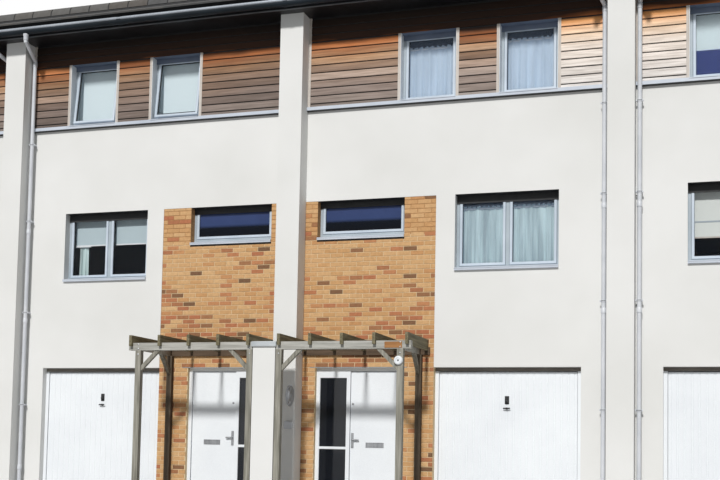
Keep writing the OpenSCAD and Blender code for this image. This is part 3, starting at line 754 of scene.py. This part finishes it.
def lining(u0, u1, z0, z1, face, back=False, sides=True):
    """A folded metal tray on the sill of a window recess, and plates on its two sides."""
    nose = face - 0.044
    tray = [(nose, z0 - 0.012), (RECESS, z0 - 0.002), (RECESS, z0 + 0.012), (nose, z0 + 0.001)]
    parts["sills"].append(on_row(run(tray, u0 + 0.001, u1 - 0.001), back=back))
    if sides:
        plates = [(u, u + 0.006, face - 0.003, RECESS, z0 + 0.01, z1) for u in (u0, u1 - 0.006)]
        parts["linings"].append(on_row(bars(plates, 0.001), back=back))


print("head covers are", 1000 * COVER, "mm thick")

# %% [markdown]
# ## Glazing the row
# The houses have the same openings, so one call glazes an opening in all of them. Only panes that
# carry their own painted reflection of the sky, or stand ajar, need a call for one house.

# %% Glaze the row
SUB_SILL = 0.033  # height of the bar between the sill and the frame of the long low window
window(*WIDE, FIRST_SILL, FIRST_HEAD, 2, (0, 1, 3))
window(*WIDE, FIRST_SILL, FIRST_HEAD, 2, (2,), kind="sky")
window(*SLOT, SLOT_SILL + SUB_SILL, FIRST_HEAD, 1, kind="dark")
parts["frames"].append(on_row(bars([(*SLOT, RECESS, FRAME_BACK, SLOT_SILL, SLOT_SILL + SUB_SILL + 0.002)])))
for bay in (INNER, OUTER):
    for house, kind in ((0, "panes"), (3, "blue"), (2, "sky")):
        window(*bay, SECOND_SILL, SECOND_HEAD, 1, (house,), kind=kind)
    window(*bay, SECOND_SILL, SECOND_HEAD, 1, (1,), ajar=True)
    window(*bay, SECOND_SILL, SECOND_HEAD, 1, back=True)
    lining(*bay, SECOND_SILL, SECOND_HEAD, -0.024)
    lining(*bay, SECOND_SILL, SECOND_HEAD, 0, True, False)
window(*REAR, FIRST_SILL, FIRST_HEAD, 2, back=True)
window(*PATIO, GARAGE_FLOOR, GROUND_HEAD, 3, back=True)
lining(*WIDE, FIRST_SILL, FIRST_HEAD, 0, False, False)
# The dark plates and strips at the window heads are painted shade; on the top floor they are blue-grey, the
# colour of a pale frame in shadow.
painted_head_shade(*WIDE, FIRST_HEAD, 0, 0.13)
painted_head_shade(*SLOT, FIRST_HEAD, BRICK_FACE, 0.10)
for bay in (INNER, OUTER):
    painted_head_shade(*bay, SECOND_HEAD, -0.02, 0.085, "upper heads", 0.022)
lining(*SLOT, SLOT_SILL, FIRST_HEAD, BRICK_FACE, False, False)
lining(*REAR, FIRST_SILL, FIRST_HEAD, 0, True, False)
# A dark strip under the sill of each long low window is painted shade: the shadow of the sill on the bricks.
parts["slot seals"].append(on_row(bars([(SLOT[0] - 0.004, SLOT[1] + 0.004, 0.0012, BRICK_FACE + 0.002,
                                         SLOT_SILL - 0.066, SLOT_SILL - 0.040)], 0.001)))
print({group: len(forms) for group, forms in parts.items()})

# %% Put the windows in
made = {name: piece(name, join(parts[group]), finish) for name, group, finish, slot in (
    ("window_frames", "frames", frame_grey, "frames"), ("window_sashes", "sashes", sash_grey, "frames"),
    ("window_seals", "seals", seal, "black"), ("window_stays", "stays", steel, "steel"),
    ("window_trays", "sills", sill_metal, "metal"), ("window_head_shades", "heads", seal, "black"),
    ("upper_head_shades", "upper heads", painted_frame_shade, "metal"),
    ("slot_sill_shades", "slot seals", seal, "black"), ("reveal_linings", "linings", white, "frames"),
    ("window_panes", "panes", glass, "glass"), ("sky_panes", "sky", painted_sky_glass, "glass"),
    ("blue_panes", "blue", painted_blue_glass, "glass"), ("slot_panes", "dark", painted_slot_glass, "glass"))}
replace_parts(made["window_frames"], "lower_frames", "upper_frames")
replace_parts(made["window_panes"], "lower_glass", "upper_glass")

# %% [markdown]
# ## Blinds and net curtains
# The blinds are flat cloth on a roller. A net curtain is cut wider than its window and
# gathered on a wire, so it hangs in folds: its depth is a sum of sine waves across the width,
# and the folds open a little towards the hem.

# %% Cloth
def woven(name, light, cover, thread, fold_shade=1.0):
    """Thin cloth with a crossed weave of the given thread spacing in its bump. Upright streaks
    in its colour, darker by the given factor, are painted shade in the hollows of the folds."""
    dark = tuple(v * fold_shade for v in light[:3]) + (1.0,)
    m = surface(name, dark, light, cloud=0.11, grain=0.004, relief=0.0002, rough=(0.8, 0.95),
                specular=0.2, stretch=(1, 1, 0.08))
    shader = m.node_tree.nodes["Principled BSDF"]
    shader.inputs["Alpha"].default_value = cover
    shader.inputs["Sheen Weight"].default_value = 0.2
    weave = [add(m, "TexWave", {"Vector": add(m, "TexCoord", out=3), "Scale": 1 / (thread * 6.283)},
                 out=1, bands_direction=axis) for axis in ("X", "Z")]
    crossed = add(m, "Math", {0: weave[0], 1: weave[1]}, operation="MULTIPLY")
    m.node_tree.links.new(add(m, "Bump", {"Height": crossed, "Strength": 0.6, "Distance": thread * 0.3}),
                          shader.inputs["Normal"])
    return m


# The top-floor cloths are paler copies of the first-floor ones: painted light on the top floor, which stands
# in the eaves' shade.
blind_cloth = woven("blind cloth", paint(194, 211, 217), 1.0, 0.002)
warm_blind = woven("warm blind cloth", paint(228, 233, 229), 1.0, 0.002)
painted_light_blind = woven("pale blind cloth", paint(234, 250, 255), 1.0, 0.002)
net_cloth = woven("net cloth", paint(228, 252, 252), 0.95, 0.004, 0.50)
painted_light_net = woven("pale net cloth", paint(222, 240, 255), 1.0, 0.004, 0.80)
print("cloth finishes ready")

# %% Sheets
CLOTH_THICK, FOLD_WIDTH, FOLD_DEPTH = 0.0006, 0.15, 0.020


def sheet_form(u0, u1, z0, z1, y, folds, depth, phase):
    """A sheet as a grid of (across, down): y is the sum of three sine waves whose height grows
    towards the hem, and two rectified sine waves ruffle the heading upwards. The front and the
    back of the cloth are two grids. The width when cut is the length of the line across its middle."""
    across, down = np.linspace(0, 1, 14 * folds + 13), np.linspace(0, 1, 13)[:, None]
    turn = 2 * np.pi * folds * across
    wave = (np.sin(turn + phase) + 0.6 * np.sin(0.37 * turn + 2 * phase)
            + 0.35 * np.sin(2.3 * turn + 3 * phase))
    ruffle = 1.6 * np.abs(np.sin(0.9 * turn + phase)) + 1.2 * np.abs(np.sin(1.9 * turn))
    out = y + depth * (0.35 + 0.65 * down) * wave
    u = np.broadcast_to(u0 + (u1 - u0) * across, out.shape)
    z = z1 + (z0 - z1) * down + depth * (1 - down) ** 8 * ruffle
    front = np.stack([u, out, z], -1)
    ring = np.concatenate([front, front[:, ::-1] + [0, CLOTH_THICK, 0]], 1)[::-1]
    length = np.sum(np.hypot(np.diff(across * (u1 - u0)), np.diff(out[6])))
    return loft(ring[None]), float(length)


def dress(name, bay, z0, z1, y, kind, house, back=False):
    """Hangs one blind or net curtain behind one light of a window."""
    net = kind == "net"
    folds = max(2, round((bay[1] - bay[0]) / FOLD_WIDTH)) if net else 0
    form, width = sheet_form(*bay, z0, z1, y, folds, FOLD_DEPTH if net else 0.0, dice.uniform(0, 6))
    low, high = (net_cloth, painted_light_net) if net else (warm_blind if house == 3 else blind_cloth, painted_light_blind)
    cloth = piece(name, on_row(form, (house,), back), low if z1 < SECOND_SILL else high, angle=60)


print("folds are about", 1000 * FOLD_WIDTH, "mm wide")

# %% [markdown]
# ## Hanging the cloth
# Each light of a window has a cloth of its own, a little wider than its glass. A blind on the
# first floor ends in a bar. The top windows at the back have the same cloths, let right down.

# %% Hang them
BEHIND = RECESS + 0.105
KINDS = ("blind", "blind", "net", "blind")
FIRST_HEMS = (4.46, 4.46, FIRST_SILL + 0.06, 4.21)
SECOND_HEMS = ((0.05, 0.05), (0.19, 0.14), (0.05, 0.05), (HEM - SECOND_SILL, HEM - SECOND_SILL))
# The bar at these heights across the last house's first-floor blinds is grey: painted shade of the crease at
# a fold.
FOLD_SHADE_AT = (4.435, 4.462)
rollers, rails, tan_rails, fold_shades = [], [], [], []


def roller(span, z, house, back=False):
    """The tube that a blind winds on, or a curtain wire's sleeve, across one light."""
    wide = span[1] - span[0]
    rollers.append(on_row(turned([(0.002, 0), (0.016, 0), (0.016, wide), (0.002, wide)],
                                 [(span[0], BEHIND + 0.008, z)], "x"), (house,), back))


def stiffener(span, half, z0, z1, house):
    """A flat bar across a blind from height z0 to z1, that reaches half to each side of it."""
    return on_row(bars([(*span, BEHIND - half, BEHIND + half, z0, z1)], 0.003), (house,))


for house, kind in enumerate(KINDS):
    head, hem = FIRST_HEAD - (0.20 if kind == "net" else 0.05), FIRST_HEMS[house]
    for n, light in enumerate(lights_of(*WIDE, 2)):
        light = (light[0] - 0.02, light[1] + 0.02)
        dress(f"first_{kind}_{house + 1}_{n + 1}", light, hem, head, BEHIND, kind, house)
        roller(light, head + 0.005, house)
        if kind == "blind":
            (tan_rails if house == 3 else rails).append(
                stiffener(light, 0.006, hem - 0.012, hem + 0.012, house))
        if house == 3:
            fold_shades.append(stiffener(light, 0.005, *FOLD_SHADE_AT, house))
    top, side_gap = (SECOND_HEAD - 0.21, 0.05) if kind == "net" else (SECOND_HEAD - 0.05, 0.012)
    for n, bay in enumerate((INNER, OUTER)):
        bay = (bay[0] + side_gap, bay[1] - side_gap)
        for tag, low in (("second", SECOND_HEMS[house][n]), ("back", 0.05)):
            dress(f"{tag}_{kind}_{house + 1}_{n + 1}", bay, SECOND_SILL + low, top, BEHIND, kind, house,
                  tag == "back")
            roller(bay, top + 0.005, house, tag == "back")
dress("first_curtain_2_1", (4.03, 4.20), FIRST_SILL + 0.06, 4.44, BEHIND + 0.03, "net", 1)
roller((3.97, 4.28), 4.445, 1)
piece("blind_rollers", join(rollers), white)
piece("blind_rails", join(rails), white)
piece("wooden_blind_rails", join(tan_rails), trim)
piece("blind_fold_shades", join(fold_shades), frame_grey)

# %% [markdown]
# ## The garage doors
# Each door is pressed from one steel sheet with upright ribs about 105 mm apart. The sheet is a
# profile of (u, y) points, worked out as a row of trapezoids, and carried up the door. It rides
# on the door, so it tips up and back with it. A dark plate with a lever sits high in the middle.

# %% Press the ribs
RIBS, RIB_DEPTH, RIB_MARGIN = 20, 0.005, 0.03
DOOR_U, DOOR_Z, SKIN_FRONT, SKIN_BACK = (2.477, 4.633), (0.062, 2.176), 0.1345, 0.137


def rib_profile():
    """Corner points across the door: each rib is a raised flat with sloping sides."""
    u0, u1 = DOOR_U[0] + RIB_MARGIN, DOOR_U[1] - RIB_MARGIN
    pitch = (u1 - u0) / RIBS
    rib = u0 + np.arange(RIBS)[:, None] * pitch
    u = (rib + pitch * np.array([0.10, 0.16, 0.84, 0.90])).ravel()
    y = np.tile(SKIN_FRONT - RIB_DEPTH * np.array([0, 1, 1, 0]), RIBS)
    edge = [SKIN_FRONT, SKIN_FRONT]
    return np.concatenate([[DOOR_U[0], u0], u, [u1, DOOR_U[1]]]), np.concatenate([edge, y, edge])


u, y = rib_profile()
section = np.concatenate([np.stack([u, y], 1), np.stack([u, np.full_like(u, SKIN_BACK)], 1)[::-1]])
skin = loft(np.stack([np.column_stack([section, np.full(len(section), z)]) for z in DOOR_Z])[None])
middle = sum(DOOR_U) / 2
plate = bars([(middle - 0.034, middle + 0.034, 0.1225, 0.1355, 1.676, 1.804)], 0.004)
lever = join([bars([(middle - 0.018, middle + 0.018, 0.087, 0.1225, 1.707, 1.743)], 0.005),
              bars([(middle - 0.055, middle + 0.055, 0.084, 0.100, 1.600, 1.622)], 0.006),
              bars([(middle - 0.014, middle + 0.014, 0.094, 0.1355, 1.596, 1.626)], 0.004)])
# A dark strip under the head of each garage opening is painted shade: the shadow that the head casts on the
# top of the door's frame.
head_shade_strip = bars([(BRICK_EDGE + 0.002, GARAGE_EDGE - 0.002, 0.1165, 0.1195,
                GROUND_HEAD - 0.0595, GROUND_HEAD - 0.001)], 0.0008)
piece("garage_head_shades", on_row(head_shade_strip), garage_shade_paint)
for k in range(4):
    door = f"garage_door_{k + 1}"
    piece(f"garage_skin_{k + 1}", on_row(skin, (k,)), white, door, 20)
    piece(f"garage_handle_{k + 1}", on_row(join([plate, lever]), (k,)), seal, door)

# %% [markdown]
# ## The front doors
# A plain white leaf carries a long plate with a lever, a letter plate and a weather bar at its
# foot. Beside it stands a dark side light in two panes with slim beads.

# %% Door furniture
LEAF_U0, LEAF_U1, LOCK, LEAF_FACE = 1.014, 1.804, 1.054, 0.104
leaf_skin = bars([(LEAF_U0 + 0.002, LEAF_U1 - 0.002, 0.1025, 0.108, 0.160, 2.180)], 0.002)
weather_bar = run([(0.078, 0.175), (LEAF_FACE, 0.168), (LEAF_FACE, 0.215), (0.098, 0.215)],
                  LEAF_U0 + 0.01, LEAF_U1 - 0.01)
letter = join([rim(1.28, 1.58, 0.958, 1.040, 0.094, LEAF_FACE, 0, 0.014, 0.003),
               bars([(1.292, 1.568, 0.097, LEAF_FACE, 0.970, 1.028)], 0.002)])
lock = join([bars([(LOCK - 0.021, LOCK + 0.021, 0.090, LEAF_FACE, 0.949, 1.191)], 0.004),
             turned([(0.0115, 0), (0.0115, 0.052), (0.009, 0.054)], [(LOCK, 0.106, 1.08)], "-y"),
             turned([(0.009, 0), (0.0118, 0.002), (0.0118, 0.122), (0.009, 0.124)],
                    [(LOCK - 0.011, 0.068, 1.08)], "x"),
             turned([(0.008, 0), (0.008, 0.004), (0.004, 0.005)], [(LOCK, 0.092, 0.99)], "-y"),
             turned([(0.010, 0), (0.020, 0.001), (0.019, 0.006), (0.008, 0.008)],
                    [(LOCK, 0.106, 1.66)], "-y")])
for k in range(4):
    door = f"front_door_{k + 1}"
    piece(f"door_skin_{k + 1}", on_row(join([leaf_skin, weather_bar]), (k,)), white, door)
    piece(f"door_furniture_{k + 1}", on_row(join([letter, lock]), (k,)), steel, door)

# %% [markdown]
# ## The side lights
# Two fixed dark panes stand over each other beside each door. The CAD model has their frame, so
# only the glass and the slim beads that hold it are added.

# %% Side lights
SIDE_U0, SIDE_U1 = 0.485, 0.948
SIDE_LIGHTS = ((0.150, 0.925), (0.960, 2.085))
beads = [rim(SIDE_U0 - 0.001, SIDE_U1 + 0.001, z0 - 0.001, z1 + 0.001, 0.084, 0.112, 0, 0.005, 0.001)
         for z0, z1 in SIDE_LIGHTS]
side_panes = bars([(SIDE_U0, SIDE_U1, 0.103, 0.127, z0, z1) for z0, z1 in SIDE_LIGHTS], 0.001)
piece("side_light_beads", on_row(join(beads)), white)
piece("side_light_panes", on_row(side_panes), dark_glass)
lintel = bars([(ENTRANCE[0] - 0.1, ENTRANCE[1] + 0.1, 0.0005, 0.012,
                GROUND_HEAD - 0.004, GROUND_HEAD + 0.004)], 0.001)
piece("door_lintels", on_row(lintel), frame_grey)

# %% [markdown]
# ## The roof
# Flat interlocking concrete tiles cover both slopes, each 330 mm wide with 345 mm showing, in
# half-lap bond. A tile is lofted from its nose up the slope. Its nose stands proud of the tile
# below and its head is tucked under the next. All tiles are computed on a flat sheet of
# (along, up, out) and then laid on the slope by one turn of the axes.

# %% Lay the tiles
TILE, GAUGE = 0.330, 0.3455
EDGE_Y, RIDGE_Y, ROOF_BASE, ROOF_THICK, FASCIA_FACE = -0.600, DEPTH / 2, 8.25, 0.095, -0.555
EDGE_TOP = ROOF_BASE + math.tan(SLOPE) * (EDGE_Y - FASCIA_FACE) + ROOF_THICK
SLOPE_LENGTH = (RIDGE_Y - EDGE_Y) / math.cos(SLOPE)
rows = math.ceil((SLOPE_LENGTH - 0.10) / GAUGE)
half_roof = HALF_ROW + 0.055


def tile_slope():
    """Tiles as rings of eight points: the top has a shallow side lock, the underside is flat."""
    cols = math.ceil(2 * half_roof / TILE) + 1
    row, col = np.divmod(np.arange(rows * cols), cols)
    left = -half_roof + (col - 0.5 * (row % 2)) * TILE
    a, b = np.maximum(left, -half_roof), np.minimum(left + TILE - 0.003, half_roof)
    ok = b - a > 0.05
    a, b, row = a[ok], b[ok], row[ok]
    start = row * GAUGE - 0.01
    stop = np.minimum(start + GAUGE + 0.06, SLOPE_LENGTH - 0.02)
    lift = dice.uniform(-0.0015, 0.0015, len(a))
    lock = 0.030  # width of the step along one side of a tile
    u = np.stack([a, a + 0.004, b - lock - 0.006, b - lock, b - 0.003, b, b, a], 1)[:, ::-1]
    top = np.array([0.020, 0.024, 0.024, 0.019, 0.019, 0.017, -0.006, -0.006])[::-1]
    ups = np.stack([start, start + 0.006, stop], 1)
    rise = np.array([[-0.004], [0.0], [-0.021]])
    out = np.where(top > 0, top + rise, top)[None] + lift[:, None, None]
    shape = (len(a), 3, 8)
    grid = [np.broadcast_to(v, shape) for v in (u[:, None], ups[:, :, None], out)]
    return np.stack(grid, -1), dice.uniform(0, 1, len(a))


grid, tones = tile_slope()
c, s = math.cos(SLOPE), math.sin(SLOPE)
along, up, out = grid[..., 0], grid[..., 1], grid[..., 2]
laid = np.stack([along, EDGE_Y + up * c - out * s - DEPTH / 2, EDGE_TOP + up * s + out * c], -1)
front_tiles = loft(laid, tones)
back_tiles = flipped(loft(laid * [1, -1, 1], dice.permutation(tones)))
piece("roof_tiles_front", front_tiles, tile, angle=25)
piece("roof_tiles_back", back_tiles, tile, angle=25)

# %% [markdown]
# ## The ridge
# A row of humped tiles covers the joint of the slopes, with gaps of 26 mm between them. They are
# one section carried along the row in pieces, and a dark bed under them shows in the gaps.

# %% Cap the ridge
RIDGE_TILE, RIDGE_GAP = 0.475, 0.026
ridge_base = EDGE_TOP + (RIDGE_Y - EDGE_Y) * math.tan(SLOPE)
bow = np.linspace(0, np.pi, 13)
half_round = np.stack([0.149 * np.cos(bow), 0.010 + 0.203 * np.sin(bow)], 1)
outer = half_round + [0, ridge_base]
count = round(2 * half_roof / RIDGE_TILE)
step = 2 * half_roof / count
starts = -half_roof + np.arange(count) * step
ridge_tiles = run(outer, starts + RIDGE_GAP / 2, starts + step - RIDGE_GAP / 2, dice.uniform(0, 1, count))
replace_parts(piece("ridge_tiles", ridge_tiles, tile, angle=25), "ridge")
bed = np.concatenate([[(0.138, -0.058)], half_round * [0.925, 0.925], [(-0.138, -0.058)]])
piece("ridge_bed", run(bed + [0, ridge_base], -half_roof + 0.01, half_roof - 0.01), seal)
closure = bars([(-half_roof, half_roof, -0.606, -0.599, 8.222, 8.318)], 0.001)
piece("eaves_closure", both_faces(closure), matt_black)

# %% [markdown]
# ## Eaves, gutters and rain pipes
# Joints, clips and outlets are what makes plain pipes look fitted, so each is a small turned or
# bevelled shape at its real place.

# %% Rain goods
GUTTER_Y, GUTTER_TOP, PIPE_Y, PIPE_FOOT, PIPE_TOP = -0.615, 8.225, -0.10, 0.09, 7.8
UNION_OUT, UNION_IN, UNION_RISE, UNION_HALF = 0.066, 0.0605, 0.062, 0.04
OUTLET_Z, SOCKETS_Z, CLIPS_AT = 8.012, (0.45, 3.05, 4.65, 7.70), (0.193, 0.406, 0.619, 0.80)
FIXINGS = ((5.045, 4.66), (5.05, 3.06), (5.514, 4.84), (5.514, 3.18))
pipe_x = np.array([i * WIDTH + side * 0.26 for i in (-1, 1) for side in (-1, 1)])
outlet_x = pipe_x + 0.13 * np.array([-1, 1, -1, 1])
unions = np.linspace(-HALF_ROW + 1.6, HALF_ROW - 1.6, 7)
t = np.linspace(np.pi, 2 * np.pi, 13)
half_ring = np.stack([np.cos(t), np.sin(t)], 1)
around = np.concatenate([UNION_OUT * half_ring, [[UNION_OUT, UNION_RISE], [UNION_IN, UNION_RISE]],
                         UNION_IN * half_ring[::-1], [[-UNION_IN, UNION_RISE], [-UNION_OUT, UNION_RISE]]])
sleeve = run(around + [GUTTER_Y, GUTTER_TOP - 0.06], unions - UNION_HALF, unions + UNION_HALF)

t = np.linspace(0, 2 * np.pi, 12, endpoint=False)
# A bead along each gutter's rim, light grey: painted highlight.
bead = run(np.stack([0.010 * np.cos(t), 0.024 * np.sin(t)], 1) + [GUTTER_Y - 0.058, GUTTER_TOP - 0.024],
           -HALF_ROW, HALF_ROW)
piece("gutter_unions", both_faces(sleeve), gutter_black)
piece("gutter_beads", both_faces(bead), painted_highlight_metal, angle=60)
outlets = turned([(0.030, 0), (0.042, 0), (0.042, 0.06), (0.050, 0.075), (0.050, 0.105), (0.030, 0.105)],
                 [(x, GUTTER_Y, OUTLET_Z) for x in outlet_x], sides=24)
sockets = turned([(0.032, 0), (0.041, 0), (0.041, 0.07), (0.0345, 0.082), (0.032, 0.082)],
                 [(x, PIPE_Y, z) for x in pipe_x for z in SOCKETS_Z], sides=24)
clip_z = PIPE_FOOT + np.array(CLIPS_AT) * (PIPE_TOP - PIPE_FOOT)
clip_at = np.array([(x, PIPE_Y, z) for x in pipe_x for z in clip_z])
clips = turned([(0.033, 0), (0.040, 0), (0.040, 0.032), (0.033, 0.032)], clip_at - [0, 0, 0.001], sides=24)
ears = bars([(x + e - 0.012, x + e + 0.012, y - 0.012, y + 0.012, z + 0.002, z + 0.028)
             for x, y, z in clip_at for e in (-0.046, 0.046)], 0.003)
clip_lines = turned([(0.034, 0), (0.0412, 0.001), (0.0412, 0.009), (0.034, 0.010)],
                    clip_at + [0, 0, 0.010], sides=24)
piece("pipe_clip_rings", both_faces(clip_lines), dark_trim)
piece("pipe_fittings", both_faces(join([outlets, sockets, clips, ears])), pipe_white)
marks = turned([(0.002, 0), (0.012, 0), (0.011, 0.003), (0.003, 0.004)],
               [(x, 0.0008, z) for x, z in FIXINGS], "-y", 12)
piece("wall_fixings", moved(marks, marks[0] - [0, DEPTH / 2, 0]), seal)
fascia_line = bars([(-HALF_ROW, HALF_ROW, -0.560, -0.522, EAVES - 0.018, EAVES - 0.008)], 0.002)
piece("eaves_trims", both_faces(fascia_line), dark_trim)

# %% [markdown]
# ## Small things on the porch
# Coach bolts fix the beams to the posts. The right-hand post of the third house carries a small
# round white lamp, and the pier beside its door has an oval wall ornament and a junction box.

# %% Bolts, lamp and ornament
POSTS_U, POST_FACE, BOLTS_Z = (0.2425, 2.18), -1.2, ((2.47, 2.54), (2.38,))
LAMP_U, LAMP_Z, ORNAMENT_AT, ORNAMENT_TALL = 2.160, 2.265, (0.115, -0.32, 1.77), 2.35
bolt_at = [(u, POST_FACE - 0.001, z) for heights in BOLTS_Z for u in POSTS_U for z in heights]
bolts = turned([(0.004, -0.004), (0.013, -0.002), (0.012, 0.004), (0.006, 0.008)], bolt_at, "-y", 12)
piece("porch_bolts", on_row(bolts), steel)
lamp_dish = turned([(0.020, 0), (0.066, 0), (0.070, 0.008), (0.068, 0.022), (0.058, 0.034), (0.040, 0.038),
                    (0.036, 0.032), (0.010, 0.030)], [(LAMP_U, POST_FACE, LAMP_Z)], "-y", 40)
lamp_eye = turned([(0.004, 0), (0.013, 0), (0.012, 0.006), (0.007, 0.009), (0.002, 0.010)],
                  [(LAMP_U, POST_FACE - 0.030, LAMP_Z)], "-y", 32)
piece("porch_lamp", on_row(lamp_dish, (2,)), white)
piece("porch_lamp_eye", on_row(lamp_eye, (2,)), dark_trim)
new_length = bars([(1.94, 2.21, POST_FACE - 0.007, POST_FACE - 0.0003, 2.455, 2.547)], 0.002)
piece("porch_beam_repair", on_row(new_length, (2,)), new_timber)
oval = turned([(0.030, 0), (0.070, 0), (0.075, 0.006), (0.070, 0.014), (0.055, 0.016), (0.050, 0.010),
               (0.020, 0.012), (0.006, 0.020)], [(0, 0, 0)], "-y", 40)
oval = moved(oval, oval[0] * [1, 1, ORNAMENT_TALL] + ORNAMENT_AT)
piece("wall_ornament", on_row(oval, (2,)), steel)
box_and_lid = bars([(0.045, 0.175, -0.375, -0.32, 1.235, 1.355),
                    (0.052, 0.168, -0.380, -0.374, 1.242, 1.348)], 0.005)
piece("junction_box", on_row(box_and_lid, (2,)), pipe_white)

# %% [markdown]
# ## The floor
# A pale floor carries the shadow. It belongs to the studio, not to the houses.

# %% Studio floor
FLOOR_GREY, FLOOR_SIZE, FLOOR_Z = (0.50, 0.50, 0.50, 1), 400, -0.002
ground = bpy.data.materials.new("studio floor")
ground.use_nodes = True
shader = ground.node_tree.nodes["Principled BSDF"]
shader.inputs["Base Color"].default_value, shader.inputs["Roughness"].default_value = FLOOR_GREY, 0.9
bpy.ops.mesh.primitive_plane_add(size=FLOOR_SIZE, location=(0, 0, FLOOR_Z))
floor = bpy.context.object
floor.name = "studio_floor"
floor.data.materials.append(ground)
print("floor", FLOOR_SIZE, "m wide")
